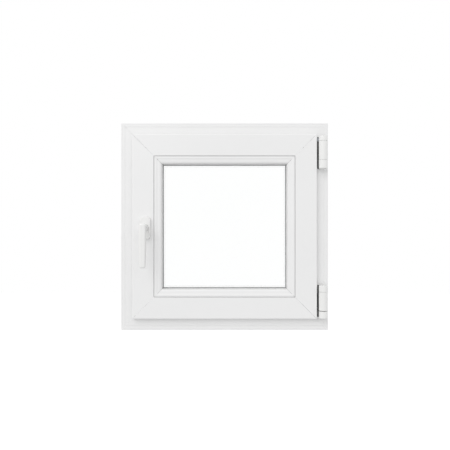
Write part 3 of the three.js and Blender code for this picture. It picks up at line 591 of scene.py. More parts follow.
def combine(piece, operation, *tools):
    """Cuts the tools out of a piece, or melts them into it, and throws the tools away."""
    for tool in tools:
        modifier = piece.modifiers.new("work", "BOOLEAN")
        modifier.operation = operation
        modifier.solver = "EXACT"
        modifier.object = tool
        hold(piece)
        bpy.ops.object.modifier_apply(modifier=modifier.name)
        drop(tool)
    return settle(piece)


# %% Pocket and drillings
spindle_x, _, spindle_z = centre_of("handle_spindle")
gearbox_low, gearbox_high = span("gearbox_case", Z)
pocket_near, pocket_far = -33.2, -18.8
pocket = box_tool(
    (-window_width / 2 + gear_mouth - 1, pocket_near, gearbox_low - 1),
    (span("gearbox_case", X)[1] + 0.3, pocket_far, gearbox_high + 1))
spindle_hole, screw_hole, screw_distance, drill_end = 7, 2.8, 21.5, -33
drillings = [
    rod_tool(radius, (spindle_x, sash_face - 1, spindle_z + rise), (spindle_x, drill_end, spindle_z + rise))
    for radius, rise in ((spindle_hole, 0), (screw_hole, screw_distance), (screw_hole, -screw_distance))
]
combine(sash_bars["handle"], "DIFFERENCE", pocket, *drillings)
report(sash_bars["handle"])

# %% [markdown]
# Rain that gets past the outer seal runs out through two slots on the weather side of the sill. They
# are milled in the real bar, and two boxes cut them here.

# %% Drain slots in the sill
slot_half_width, slot_depth, slot_bottom, slot_top = 12.5, 4, 10, 15
for cover in ("drain_cover_left", "drain_cover_right"):
    slot_x = centre_of(cover)[X]
    combine(frame_bars["bottom"], "DIFFERENCE", box_tool(
        (slot_x - slot_half_width, weather_face - slot_depth, slot_bottom),
        (slot_x + slot_half_width, weather_face + 1, slot_top)))
report(frame_bars["bottom"])

# %% [markdown]
# ## Glazing beads
# The beads are the thin bars that clip in round the glass from the room. Their face steps down and then
# slopes towards the glass, which gives the fine double line round the pane. They are sawn at 45 degrees
# like the bars, but only pushed together, so their joints stay sharper than a weld.

# %% Glazing beads
bead_edge = span("glazing_bead_bottom", Z)[1]
bead_face, bead_back = span("glazing_bead_bottom", Y)
bead_step = bead_face + 1.5
seat, foot_tip = bead_line + 0.9, bead_line - 3
bead_corners = [
    (seat, bead_face, 0.8),
    (bead_line + 7.4, bead_face, 1),
    (bead_line + 10.4, bead_step, 1.5),
    (bead_edge, bead_step, 7.5),
    (bead_edge, bead_back, 0.4),
    (seat, bead_back),
    (seat, bead_back - 2), (foot_tip, bead_back - 2, 0.4),
    (foot_tip, bead_back - 5.2, 1), (seat, bead_back - 5.2),
]
bead_chamber = [(seat + 2, bead_face + 10, bead_edge - 2, bead_back - 2)]
joint_softness = 0.15
bead_bar = mitred_bar(
    "bead_bar", bead_corners, bead_chamber, bead_joint, (bead_face, bead_step), joint_softness)
bead_sides = {side: f"glazing_bead_{side}" for side in quarter_turns}
beads = all_round(bead_bar, bead_sides)

# %% [markdown]
# ## Rings of rubber, metal and sealant
# A seal runs right round in one piece. Its section is drawn on the diagonal, in the plane of a mitre,
# and spun round the middle of the window in four steps, which makes a square ring with sharp corners
# and no ends to close.

# %% Square rings
def square_ring(name, start, corners):
    """A ring round the middle of a square window. Its section counts inwards from the start."""
    def on_the_diagonal(inwards, depth):
        return (mm(inwards - window_width / 2), mm(depth), mm(inwards))

    section = [(start + inwards, *rest) for inwards, *rest in corners]
    piece = draw_section(name, section, on_the_diagonal)
    take()
    bpy.ops.mesh.spin(
        steps=4, angle=math.radians(360), center=(0, 0, mm(middle)), axis=(0, 1, 0), dupli=False)
    leave()
    return settle(piece)


frame_seal = square_ring("frame_seal", 0, [
    (60, 17.3, 1.4), (64, 17.3, 1.4), (64, 20.7, 0.6), (63, 20.7), (63, 22.4), (63.1, 22.7), (62.6, 24),
    (61.4, 24), (60.9, 22.7), (61, 22.4), (61, 20.7), (60, 20.7, 0.6),
])
room_glass_seal = square_ring("room_glass_seal", bead_edge + 1.5, [
    (-9, -26.7, 0.3), (-1.6, -26.7), (-0.1, -25.4, 0.3), (0, -24.5), (-0.3, -24.3), (-9, -24.3, 0.3),
])
outer_glass_seal = square_ring("outer_glass_seal", leg_tip + 2.5, [
    (-9.5, 0.3, 0.3), (-0.3, 0.3), (0, 0.5), (-0.1, 1.4, 0.3), (-1.9, 2.7), (-9.5, 2.7, 0.3),
])
report(frame_seal, room_glass_seal, outer_glass_seal)

# %% [markdown]
# The sash's own seal sits in the lap and closes onto the frame's face. On the hinge side it is notched
# for the hinge plates, as a fitter would cut it with a knife.

# %% Seal in the sash's lap
sash_seal = square_ring("sash_seal", lap_edge, [
    (4, -38.6, 0.6), (4.9, -38.7), (4.9, -40.6), (4.7, -41), (5.2, -42), (6.3, -42), (6.8, -41),
    (6.6, -40.6), (6.6, -38.7), (7.5, -38.6, 0.6), (7.5, -35.6, 1.3), (4, -35.6, 1.3),
])
band_low, band_high = span("bottom_hinge_bearing", Z)[1] + 8.4, span("bottom_hinge_cap", Z)[0] - 6.3
arm_top = span("stay_arm", Z)[1]
notch_left, notch_right, notch_play = 255.5, 265.5, 1
combine(sash_seal, "DIFFERENCE", *[
    box_tool((notch_left, lap_back, low - notch_play), (notch_right, room_face, high + notch_play))
    for low, high in ((band_low, band_high), (arm_top - 13, arm_top - 3.5))])
report(sash_seal)

# %% [markdown]
# ## Glass unit
# Two panes are held apart by a metal spacer, with dry gas between them. The edges of real panes are
# ground, or arrissed, so each box gets a narrow flat bevel all round. Behind the spacer a rope of black
# sealant closes the unit; it can't be seen once the glass is in, but it shows when the unit is taken out.

# %% Panes
corner_radius, arris = 1.5, 0.5


def pane(name, node):
    """A pane with slightly rounded corners and an arris all round."""
    low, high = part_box(node)
    piece = box_piece(name, low * 1000, high * 1000)
    enter(piece)
    pick("EDGE", lambda edge: reach(edge) > mm(1))
    bpy.ops.mesh.bevel(offset=mm(corner_radius), segments=3, affect="EDGES")
    pick("EDGE", lambda edge: reach(edge) < mm(0.1))
    bpy.ops.mesh.bevel(offset=mm(arris), segments=1, affect="EDGES")
    leave()
    return settle(piece, angle=20)


room_pane = pane("room_pane", "glass_pane_room")
outer_pane = pane("outer_pane", "glass_pane_outer")
report(room_pane, outer_pane)

# %% Spacer and sealant
gap_low, gap_high = span("glass_spacer", Y)
spacer_edge = 103.3
spacer_bar = square_ring("spacer_bar", spacer_edge, [
    (3, gap_low + 2), (4.5, gap_low, 0.4), (10, gap_low, 0.8),
    (10, gap_high, 0.8), (4.5, gap_high, 0.4), (3, gap_high - 2),
])
edge_sealant = square_ring("edge_sealant", spacer_edge, [
    (0, gap_low, 0.3), (4.2, gap_low), (2.7, gap_low + 2.1),
    (2.7, gap_high - 2.1), (4.2, gap_high), (0, gap_high, 0.3), (0.4, (gap_low + gap_high) / 2),
])
report(spacer_bar, edge_sealant)

# %% [markdown]
# ## Handle
# The handle is cast metal with a white coat: a round neck that leaves the cover plate, and a flat lever
# that hangs down from it. It could be sculpted, but its shape is a few planes with generous edges, so a
# box that is narrowed towards its tip and then bevelled gives cleaner highlights. The neck is turned
# from a profile and melted into the lever with a Boolean.

# %% Turned shapes
def turned(name, profile, centre, along="Z", steps=48):
    """A solid of revolution from a profile of (radius, place along the axis) in millimetres."""
    piece = start_piece(name)
    across, depth, rise = (mm(value) for value in centre)
    if along == "Z":
        axis = (0, 0, 1)
        places = [(mm(centre[X] + radius), depth, mm(at)) for radius, at in profile]
    else:
        axis = (0, 1, 0)
        places = [(mm(centre[X] + radius), mm(at), rise) for radius, at in profile]
    draw_loop(places)
    take()
    bpy.ops.mesh.spin(
        steps=steps, angle=math.radians(360), center=(across, depth, rise), axis=axis, dupli=False)
    take()
    bpy.ops.mesh.remove_doubles(threshold=mm(0.01))
    pick("EDGE", lambda edge: not edge.link_faces)
    bpy.ops.mesh.delete(type="EDGE")
    leave()
    return settle(piece)


# %% Soft edges
def soft_edge(piece, test, width, segments):
    """Bevels the edges of a piece that the test picks."""
    enter(piece)
    if pick("EDGE", test):
        bpy.ops.mesh.bevel(offset=mm(width), segments=segments, affect="EDGES", clamp_overlap=True)
    leave()


def faces_towards(face, direction, within=20):
    return face.normal.angle(Vector(direction)) < math.radians(within)


def rim_of(direction):
    """Edges between a face that looks in a direction and one that doesn't."""
    return lambda edge: len(edge.link_faces) == 2 and (
        faces_towards(edge.link_faces[0], direction) != faces_towards(edge.link_faces[1], direction))


room_side, weather_side = (0, -1, 0), (0, 1, 0)

# %% Lever
lever_left, lever_right = span("handle_lever", X)
lever_low, lever_high = span("handle_lever", Z)
lever_front, neck_start = span("handle_lever", Y)
lever_thickness = 14
lever_back = lever_front + lever_thickness
grip_depth = lever_back - 5
shoulder, waist, wrist = spindle_z - 12, spindle_z - 45, spindle_z - 85
lever = box_piece(
    "handle_lever_cast", (lever_left, lever_front, lever_low), (lever_right, lever_back, lever_high))
enter(lever)
for height in (shoulder, waist, wrist):
    take()
    bpy.ops.mesh.bisect(plane_co=(0, 0, mm(height)), plane_no=(0, 0, 1))
for height, across, deep in ((lever_low, 0.80, 0.78), (wrist, 0.9, 0.9), (waist, 0.97, 0.97)):
    pick("VERT", lambda point: near(point.co.z, height, 0.1))
    bpy.ops.transform.resize(
        value=(across, deep, 1), center_override=(mm(spindle_x), mm(grip_depth), mm(height)))
leave()
for end, radius in ((lever_high, 7.5), (lever_low, 5)):
    soft_edge(lever, lambda edge: near(edge_middle(edge).z, end, 0.1) and reach(edge) > mm(5),
              width=radius, segments=8)
soft_edge(lever, rim_of(room_side), width=6.4, segments=8)
soft_edge(lever, rim_of(weather_side), width=2.6, segments=4)
settle(lever)
print("lever", round(lever_high - lever_low), "mm long")

# %% Neck and its square socket
socket_half, socket_depth = 3.8, 15
handle_axis = (spindle_x, 0, spindle_z)
neck = turned("neck", [
    (0, neck_start), (9.4, neck_start), (10, neck_start - 0.6), (10, neck_start - 12),
    (9.2, neck_start - 17), (8.7, neck_start - 26), (8.6, neck_start - 34),
    (8.2, lever_back - 2), (0, lever_back - 2),
], handle_axis, along="Y")
combine(lever, "UNION", neck)
combine(lever, "DIFFERENCE", box_tool(
    (spindle_x - socket_half, neck_start - socket_depth, spindle_z - socket_half),
    (spindle_x + socket_half, neck_start + 1, spindle_z + socket_half)))
report(lever)

# %% [markdown]
# ## Handle plate
# The plate is a thin cap that snaps over the base and hides the two screws. It starts as an outline with
# round corners. Its front edge is bevelled, a smaller slab is cut out of its back to leave the wall, and
# a turned collar marks where the neck comes through.

# %% Handle plate
def upright_slab(name, half_width, half_height, radius, front, back):
    """A plate with round corners, standing upright round the spindle."""
    piece = start_piece(name)
    draw_loop([
        (mm(spindle_x + right * half_width), mm(back), mm(spindle_z + up * half_height))
        for right, up in ((-1, -1), (1, -1), (1, 1), (-1, 1))])
    bpy.ops.mesh.edge_face_add()
    take()
    bpy.ops.mesh.bevel(offset=mm(radius), segments=10, affect="VERTICES")
    take()
    extrude_by((0, mm(front - back), 0))
    leave()
    return settle(piece)


plate_front, plate_back = span("handle_cover", Y)
plate_half_width, plate_half_height = (
    (high - low) / 2 for low, high in (span("handle_cover", X), span("handle_cover", Z)))
plate_radius, plate_wall = 11, 1.8
plate = upright_slab(
    "handle_plate", plate_half_width, plate_half_height, plate_radius, plate_front, plate_back)
soft_edge(plate, rim_of(room_side), width=2.4, segments=5)
inside = upright_slab(
    "inside", plate_half_width - plate_wall, plate_half_height - plate_wall,
    plate_radius - plate_wall, plate_front + 2, plate_back + 1)
combine(plate, "DIFFERENCE", inside)
collar = turned("collar", [
    (10.35, plate_front + 1.9), (13.2, plate_front + 1.9), (13.2, plate_front - 0.3), (12.6, plate_front - 1),
    (11.2, plate_front - 1.2), (10.35, plate_front - 0.6),
], handle_axis, along="Y")
bore_radius = 10.6
combine(plate, "DIFFERENCE", rod_tool(
    bore_radius, (spindle_x, plate_front - 1, spindle_z), (spindle_x, plate_back, spindle_z), sides=48))
combine(plate, "UNION", collar)
report(plate)

# %% [markdown]
# ## Hinges
# A tilt-and-turn window hangs on two hinges. Each is a dark steel core with white sleeves pushed over
# it, so that from the front only white barrels show, with fine joints between the parts that turn. The
# sleeves are turned from profiles. A barrel could be a plain cylinder, but the small rounding at each
# end is what catches the light and draws the joint.

# %% Hinge sleeves
hinge_x, hinge_y, _ = centre_of("top_hinge_pin")
hinge_axis = (hinge_x, hinge_y, 0)
barrel = (span("bottom_hinge_cap", X)[1] - span("bottom_hinge_cap", X)[0]) / 2


def sleeve(name, low, high, bore, low_edge, high_edge, floor=None, ceiling=None):
    """A barrel on the hinge axis with rounded ends. floor or ceiling closes one end of its bore."""
    def rounded(at, edge, inwards):
        return [(barrel - edge, at), (barrel - edge * 0.3, at + inwards * edge * 0.3),
                (barrel, at + inwards * edge)]

    start, end = [(bore, low)], [(bore, high)]
    if floor is not None:
        start, end = [(0, low)], [(bore, high), (bore, floor), (0, floor)]
    if ceiling is not None:
        start, end = [], [(0, high), (0, ceiling), (bore, ceiling), (bore, low)]
    profile = start + rounded(low, low_edge, 1) + rounded(high, high_edge, -1)[::-1] + end
    return turned(name, profile, hinge_axis)


bearing_low, bearing_high = span("bottom_hinge_bearing", Z)
bottom_cap_low, bottom_cap_high = span("bottom_hinge_cap", Z)
band_barrel_low, band_barrel_high = bearing_high + 2.4, bottom_cap_low - 0.3
top_low, top_high = span("top_hinge_bearing", Z)
top_cap_low, top_cap_high = span("top_hinge_cap", Z)
knuckle_low, knuckle_high = top_high + 0.3, arm_top
pin_bore = 4.3
bearing_sleeve = sleeve("bottom_bearing_sleeve", bearing_low, bearing_high, bore=7.5,
                        low_edge=1.2, high_edge=0.5, floor=bearing_low + 1.5)
bottom_cap = sleeve("bottom_hinge_cap_sleeve", bottom_cap_low, bottom_cap_high, bore=6.3,
                    low_edge=0.35, high_edge=1.6, ceiling=bottom_cap_low + 8)
top_sleeve = sleeve("top_bearing_sleeve", top_low, top_high, bore=pin_bore, low_edge=0.35, high_edge=0.8)
top_cap = sleeve("top_hinge_cap_sleeve", top_cap_low, top_cap_high, bore=pin_bore,
                 low_edge=1.6, high_edge=0.35, floor=top_cap_low + 4)
report(bearing_sleeve, bottom_cap, top_sleeve, top_cap)

# %% [markdown]
# A thin ring lies on the lower bearing, under the sash's barrel. It keeps dirt out of the joint and
# fills what would be a dark gap. Its bore is wide, because the pin leans when the sash is tilted. A
# disc with a hole would do, but turning it gives its edges a small rounding.

# %% Washer on the lower bearing
washer = turned("bottom_bearing_washer", [
    (radius, bearing_high + rise) for radius, rise in (
        (7.7, 0.05), (9.2, 0.05), (9.2, 0.5), (9, 0.7), (7.9, 0.7), (7.7, 0.5))], hinge_axis)
report(washer)

# %% [markdown]
# The sash's own barrel at the bottom has a solid steel core: the pin below it that carries the weight,
# the spigot above it that the cap sits on, and a plate that runs back round the sash's edge. The white
# sleeve is a tube round that core, with a slot at the back for the plate.

# %% Bottom band
core_radius = 9.5
tube_bore = core_radius + 0.1
plate_near, plate_far = -38.15, -35.85      # the steel plates, in depth
plate_left = hinge_x - 8


def cut_plate_slot(tube, low, high, play=0.15):
    """Cuts the slot in a tube's back that the steel plate comes out of, with some play."""
    combine(tube, "DIFFERENCE", box_tool(
        (plate_left - play, hinge_y + 6, low - play), (hinge_x + play, hinge_y + 16, high + play)))


band_sleeve = turned("bottom_band_sleeve", [
    (tube_bore, band_barrel_low), (barrel - 0.5, band_barrel_low),
    (barrel - 0.15, band_barrel_low + 0.15), (barrel, band_barrel_low + 0.5),
    (barrel, band_barrel_high - 0.35), (barrel - 0.1, band_barrel_high - 0.1),
    (barrel - 0.35, band_barrel_high), (tube_bore, band_barrel_high),
], hinge_axis)
pin_radius, spigot_radius, spigot_top = 3, 6, band_barrel_high + 8
pin_low, leaf_top = span("bottom_hinge_band", Z)
band_core = turned("bottom_band_core", [
    (0, pin_low), (pin_radius - 0.4, pin_low), (pin_radius, pin_low + 0.4), (pin_radius, band_barrel_low),
    (core_radius, band_barrel_low), (core_radius, band_barrel_high), (spigot_radius, band_barrel_high),
    (spigot_radius, spigot_top - 0.6), (spigot_radius - 0.6, spigot_top), (0, spigot_top),
], hinge_axis)
leaf_left = span("bottom_hinge_band", X)[0]
combine(
    band_core, "UNION",
    box_tool((plate_left, hinge_y + 7.7, band_low + 0.02),
             (hinge_x - 0.1, plate_far - 0.02, band_high - 0.02)),
    box_tool((leaf_left, plate_near, band_low), (hinge_x - 0.05, plate_far, band_high)),
    box_tool((leaf_left - 0.02, plate_near + 0.3, band_low + 0.01),
             (leaf_left + 2.3, plate_near + 22, leaf_top)))
cut_plate_slot(band_sleeve, band_low, band_high)
report(band_sleeve, band_core)

# %% [markdown]
# Behind each bearing's sleeve a steel foot reaches back to the frame. It is a softened cube, and a rod
# cuts the room for the sleeve out of it.

# %% Feet of the two bearings
foot_half_width = 8


def hinge_foot(name, low, high):
    """The steel foot between a bearing's sleeve and the frame's face, with softened edges."""
    piece = box_piece(name, (hinge_x - foot_half_width, hinge_y + 6, low),
                      (hinge_x + foot_half_width, room_face - 0.3, high))
    soft_edge(piece, lambda edge: True, width=0.5, segments=2)
    round_room = rod_tool(barrel + 0.1, (hinge_x, hinge_y, low - 1), (hinge_x, hinge_y, high + 1), "Z", 48)
    return combine(piece, "DIFFERENCE", round_room)


bottom_foot = hinge_foot("bottom_bearing_foot", bearing_low, bearing_high)
top_foot = hinge_foot("top_bearing_foot", top_low, top_high)
report(bottom_foot, top_foot)

# %% [markdown]
# ## Stay arm
# The top hinge's upper knuckle belongs to the stay arm, a steel strip that lies along the top of the
# sash and lets it lean in when the window is tilted. The strip is cranked round the sash's edge. The
# knuckle wears a white sleeve like the rest of the hinge.

# %% Stay arm
arm_y = centre_of("stay_arm_guide")[Y]
strip_radius, guide_radius, guide_low = 4, 3, 545
guide_x = span("stay_arm", X)[0] + strip_radius
arm_low, arm_high = knuckle_low + 1, knuckle_high - 3.5
strip_low, strip_high = 549.7, 552.2
strip_near, strip_far = arm_y - strip_radius, arm_y + strip_radius
crank_x = window_width / 2 - gear_mouth + 5.2
crank_end = window_width / 2 - rebate_floor - 0.3
knuckle_sleeve = turned("stay_knuckle_sleeve", [
    (tube_bore, knuckle_low), (barrel - 0.8, knuckle_low), (barrel - 0.2, knuckle_low + 0.25),
    (barrel, knuckle_low + 0.8), (barrel, knuckle_high - 1.6), (barrel - 0.5, knuckle_high - 0.5),
    (barrel - 1.6, knuckle_high), (pin_bore, knuckle_high), (pin_bore, knuckle_high - 1.2),
    (tube_bore, knuckle_high - 1.2),
], hinge_axis)
cut_plate_slot(knuckle_sleeve, arm_low, arm_high)
stay_arm = turned("stay_arm_strip", [
    (pin_bore, knuckle_low), (core_radius, knuckle_low), (core_radius, knuckle_high - 1.3),
    (pin_bore, knuckle_high - 1.3),
], hinge_axis)
combine(
    stay_arm, "UNION",
    box_tool((plate_left, hinge_y + 8, arm_low), (hinge_x, plate_far, arm_high)),
    box_tool((crank_x, plate_near, arm_low), (hinge_x, plate_far, arm_high)),
    box_tool((crank_x, plate_near, strip_low), (crank_end, strip_far, strip_high)),
    box_tool((guide_x, strip_near, strip_low), (crank_end, strip_far, strip_high)),
    rod_tool(strip_radius, (guide_x, arm_y, strip_low), (guide_x, arm_y, strip_high), along="Z"),
    rod_tool(guide_radius, (guide_x, arm_y, guide_low), (guide_x, arm_y, strip_low + 1), along="Z"))
report(knuckle_sleeve, stay_arm)

# %% [markdown]
# ## Painted shade behind the hinges
# Between a hinge and the frame lies a thin sheet of near-black plastic. It is painted shade: it is almost
# hidden, but it makes the gap beside the hinges look black. The end that faces the middle of the window is
# cut at a slant, so that only a small dark wedge of painted shade peeps out from behind the cap. Moving
# the corners of a box does that with less work than drawing the outline.

# %% Sheets of painted shade
shade_sheet_left, shade_sheet_right = hinge_x - barrel - 0.5, hinge_x + 9
cut_left, cut_right = 0.6, 4.4      # how far the slant takes each corner back


# The near-black sheet is painted shade for the gap and the small wedge beside each hinge.
def shade_sheet(name, low, high, slanted_end):
    """A thin plate behind a hinge, cut at a slant at the end that faces the window's middle."""
    piece = box_piece(name, (shade_sheet_left, room_face - 0.6, low), (shade_sheet_right, room_face - 0.05, high))
    enter(piece)
    for across, cut in ((shade_sheet_left, cut_left), (shade_sheet_right, cut_right)):
        pick("VERT", lambda point: near(point.co.x, across) and near(point.co.z, slanted_end))
        bpy.ops.transform.translate(value=(0, 0, mm(cut if slanted_end == low else -cut)))
    leave()
    soft_edge(piece, lambda edge: reach(edge) > mm(0.3), width=1.5, segments=4)
    soft_edge(piece, rim_of(room_side), width=0.15, segments=1)
    return settle(piece)


# Both sheets are painted shade.
bottom_shade_sheet = shade_sheet("bottom_hinge_shade_sheet", bearing_low, bottom_cap_high, slanted_end=bottom_cap_high)
top_shade_sheet = shade_sheet("top_hinge_shade_sheet", top_cap_low, knuckle_high, slanted_end=top_cap_low)
report(bottom_shade_sheet, top_shade_sheet)

# %% [markdown]
# ## Drain covers
# Rain that gets into the sill leaves through slots on the weather side, and each slot has a small hood
# over it, open underneath. A cube is softened at the front, given a shallow panel, and hollowed.

# %% Drain covers
hood_wall, panel_edge, panel_depth = 1.4, 2.6, 0.5


def drain_hood(name, node):
    """A hood over a drain slot, open below and at the back."""
    low, high = [corner * 1000 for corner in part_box(node)]
    piece = box_piece(name, low, high)
    soft_edge(piece, lambda edge: reach(edge) > mm(2) and edge_middle(edge).z > mm(high[Z] - 1),
              width=2.5, segments=5)
    soft_edge(piece, rim_of(weather_side), width=1.1, segments=3)
    enter(piece)
    pick("FACE", lambda face: faces_towards(face, weather_side, within=5))
    bpy.ops.mesh.inset(thickness=mm(panel_edge))
    extrude_by((0, mm(-panel_depth), 0))
    leave()
    return combine(piece, "DIFFERENCE", box_tool(
        (low[X] + hood_wall, low[Y] - 1, low[Z] - 1),
        (high[X] - hood_wall, high[Y] - 1.6, high[Z] - 1.5)))


drain_hoods = [drain_hood(f"drain_hood_{side}", f"drain_cover_{side}") for side in ("left", "right")]
report(*drain_hoods)

# %% [markdown]
# ## Screw heads
# Screws hold the faceplates in their groove and the keeps in the frame. They only show when the window
# is open. Each head is turned on the sill side, its cross is cut, and then it is turned round to its own
# side of the window. Modelled threads would never be seen, so a head is all there is.

# %% One head
screw_depth = centre_of("faceplate_bottom")[Y]
dome = [(0, 0.02), (3.3, 0.02), (3.3, 0.12), (2.9, 0.35), (1.9, 0.55), (0, 0.62)]
cross_floor, cross_long, cross_wide = 0.3, 1.7, 0.35


def screw_head(name, side, along, height, upwards):
    """A low, domed head with a cross recess. On the sill side it looks up, or down if upwards is -1."""
    head = turned("head", [(radius, height + upwards * rise) for radius, rise in dome],
                  (along, screw_depth, 0), steps=24)
    top = height + upwards * cross_floor
    low, high = sorted((top, top + upwards))
    for half_x, half_y in ((cross_long, cross_wide), (cross_wide, cross_long)):
        combine(head, "DIFFERENCE", box_tool(
            (along - half_x, screw_depth - half_y, low), (along + half_x, screw_depth + half_y, high)))
    copy = turned_copy(head, name, side)
    drop(head)
    return copy


# %% Heads on the faceplates and the keeps
plate_height = span("faceplate_bottom", Z)[0]
keep_floor = 46.8
keep_middle = -centre_of("keep_bottom_tilt")[X]
keep_ends = (-12, 12)
plate_screws = [
    screw_head(f"plate_screw_{side}_{number}", side, place, plate_height, -1)
    for side, places in (
        ("bottom", (-220, -100, 0)), ("handle", (-220, -100, 100, 220)), ("top", (-4, 100, 220)))
    for number, place in enumerate(places, 1)]
keep_screws = [
    screw_head(f"keep_screw_{side}_{number}", side, place, keep_floor, 1)
    for side, signs in (("bottom", (-1,)), ("handle", (-1, 1)), ("top", (1,)))
    for number, place in enumerate([sign * keep_middle + step for sign in signs for step in keep_ends], 1)]
report(plate_screws[0], keep_screws[0])
print(len(plate_screws), "and", len(keep_screws), "screws")

# %% [markdown]
# # Finishes
# Each finish is built from nodes. What several finishes share is a node group with named sockets: a
# group only works out colours, roughness values and heights that change over the surface, and the
# shader itself stays in the material.

# %% Helpers for groups
def node_group(name, outputs, colours=(), **values):
    """An empty group with a Place, the named values and colours going in, and the outputs going out."""
    tree = bpy.data.node_groups.new(name, "ShaderNodeTree")

    def socket(label, side, kind):
        return tree.interface.new_socket(name=label, in_out=side, socket_type=f"NodeSocket{kind}")

    socket("Place", "INPUT", "Vector")
    for label, value in values.items():
        socket(label, "INPUT", "Float").default_value = value
    for label in colours:
        socket(label, "INPUT", "Color")
    for label in outputs:
        socket(label, "OUTPUT", "Color" if label == "Color" else "Float")
    print("group", name)
    return tree, tree.nodes.new("NodeGroupInput"), tree.nodes.new("NodeGroupOutput")


def mix_colours(tree, amount, first, second):
    """Mixes two colours or sockets. amount is a socket."""
    node = add_node(tree, "Mix", data_type="RGBA")
    tree.links.new(amount, node.inputs[0])
    for socket, value in ((node.inputs[6], first), (node.inputs[7], second)):
        if isinstance(value, tuple):
            socket.default_value = value
        else:
            tree.links.new(value, socket)
    return node.outputs[2]


def lights(red, green, blue):
    """A colour as a paint chart gives it, 0 to 255, turned into the light values that nodes use."""
    def one(part):
        part = part / 255
        return part / 12.92 if part <= 0.04045 else ((part + 0.055) / 1.055) ** 2.4
    return (one(red), one(green), one(blue), 1.0)


print("white plastic", [round(part, 3) for part in lights(238, 239, 239)])

# %% [markdown]
# ## Clouding, grain and dust
# Three small effects make a clean surface look real. Clouding is a broad, faint change of shade.
# Grain is the fine texture that a die or a coat leaves. Dust settles only on what faces up.

# %% Group: clouded colour
clouding, cloud_in, cloud_out = node_group("clouding", ("Color", "Mask"), ("Light", "Dark"), Size=6.0)
cloud_noise = add_node(clouding, "TexNoise", Detail=4.0, Roughness=0.6)
cloud_mask = add_node(clouding, "MapRange", To_Min=-0.6, To_Max=1.6)
cloud_colour = mix_colours(
    clouding, cloud_mask.outputs["Result"], cloud_in.outputs["Dark"], cloud_in.outputs["Light"])
clouding.links.new(cloud_colour, cloud_out.inputs["Color"])
wire(clouding,
     (cloud_in, "Place", cloud_noise, "Vector"), (cloud_in, "Size", cloud_noise, "Scale"),
     (cloud_noise, "Fac", cloud_mask, "Value"), (cloud_mask, "Result", cloud_out, "Mask"))

# %% Group: surface grain
grain, grain_in, grain_out = node_group(
    "surface_grain", ("Height", "Roughness"), Fineness=900.0, Smoothest=0.25, Roughest=0.35)
grain_noise = add_node(grain, "TexNoise", Detail=3.0, Roughness=0.55)
broad_noise = add_node(grain, "TexNoise", Scale=14.0, Detail=3.0)
grain_range = add_node(grain, "MapRange")
wire(grain,
     (grain_in, "Place", grain_noise, "Vector"), (grain_in, "Fineness", grain_noise, "Scale"),
     (grain_in, "Place", broad_noise, "Vector"), (broad_noise, "Fac", grain_range, "Value"),
     (grain_in, "Smoothest", grain_range, "To Min"), (grain_in, "Roughest", grain_range, "To Max"),
     (grain_noise, "Fac", grain_out, "Height"), (grain_range, "Result", grain_out, "Roughness"))

# %% Group: dust that settles on top
dust, dust_in, dust_out = node_group("settled_dust", ("Color", "Mask"), ("Base",), Amount=0.3)
dust_geometry = add_node(dust, "NewGeometry")
dust_up = add_node(dust, "SeparateXYZ")
dust_facing = add_node(dust, "MapRange", From_Min=0.55, From_Max=1.0)
dust_specks = add_node(dust, "TexNoise", Scale=160.0, Detail=6.0, Roughness=0.7)
dust_share = calculate(dust, "MULTIPLY", dust_facing.outputs["Result"], dust_specks.outputs["Fac"])
dust_amount = calculate(dust, "MULTIPLY", dust_share, dust_in.outputs["Amount"])
dust_colour = mix_colours(dust, dust_amount, dust_in.outputs["Base"], lights(176, 172, 164))
dust.links.new(dust_colour, dust_out.inputs["Color"])
dust.links.new(dust_amount, dust_out.inputs["Mask"])
wire(dust,
     (dust_geometry, "Normal", dust_up, "Vector"), (dust_up, "Z", dust_facing, "Value"),
     (dust_in, "Place", dust_specks, "Vector"))


# %% Placing a group in a material
def new_material(name, **sockets):
    """A material with a Principled shader, its plain values set on the shader's own sockets."""
    material = bpy.data.materials.new(name)
    material.use_nodes = True
    shader = material.node_tree.nodes["Principled BSDF"]
    for label, value in sockets.items():
        shader.inputs[label.replace("_", " ")].default_value = value
    print("material", name)
    return material, material.node_tree, shader


def place_group(tree, group, **values):
    node = add_node(tree, "Group", node_tree=group)
    for label, value in values.items():
        if isinstance(value, (int, float, tuple)):
            node.inputs[label].default_value = value
        else:
            tree.links.new(value, node.inputs[label])
    return node


def on_the_piece(tree, stretch=(1, 1, 1)):
    """Object coordinates, stretched along each axis."""
    mapping = add_node(tree, "Mapping", Scale=stretch)
    wire(tree, (add_node(tree, "TexCoord"), "Object", mapping, "Vector"))
    return mapping.outputs["Vector"]


def dress_shader(tree, shader, colour, texture, height, strength):
    """Gives a shader its changing colour and gloss, and a bump of that many millimetres."""
    bump = add_node(tree, "Bump", Distance=mm(height), Strength=strength)
    wire(tree,
         (colour, "Color", shader, "Base Color"), (texture, "Roughness", shader, "Roughness"),
         (texture, "Height", bump, "Height"), (bump, "Normal", shader, "Normal"))


def surface(name, light, dark, cloud_size, gloss, height, strength, fineness=1.0, stretch=(1, 1, 1),
            dusty=None, **sockets):
    """A clouded colour, dust on it if wanted, and grain that changes the gloss and makes the bump.

    gloss is the smoothest and the roughest value, height is the bump's in millimetres, and stretch is
    small along the lines of a drawn or rolled surface and large across them."""
    material, tree, shader = new_material(name, **sockets)
    place = on_the_piece(tree)
    colour = place_group(tree, clouding, Place=place, Size=cloud_size, Light=light, Dark=dark)
    if dusty:
        colour = place_group(tree, dust, Place=place, Base=colour.outputs["Color"], Amount=dusty)
    texture = place_group(tree, grain, Place=on_the_piece(tree, stretch), Fineness=fineness,
                          Smoothest=gloss[0], Roughest=gloss[1])
    dress_shader(tree, shader, colour, texture, height, strength)
    return material


# %% [markdown]
# ## White profile plastic
# The bars are extruded through a die, so their skin is smooth with very fine lines along the bar. Lines
# along X suit the level bars and lines along Z the upright ones, so there are two versions that differ
# only in which way the grain is stretched.

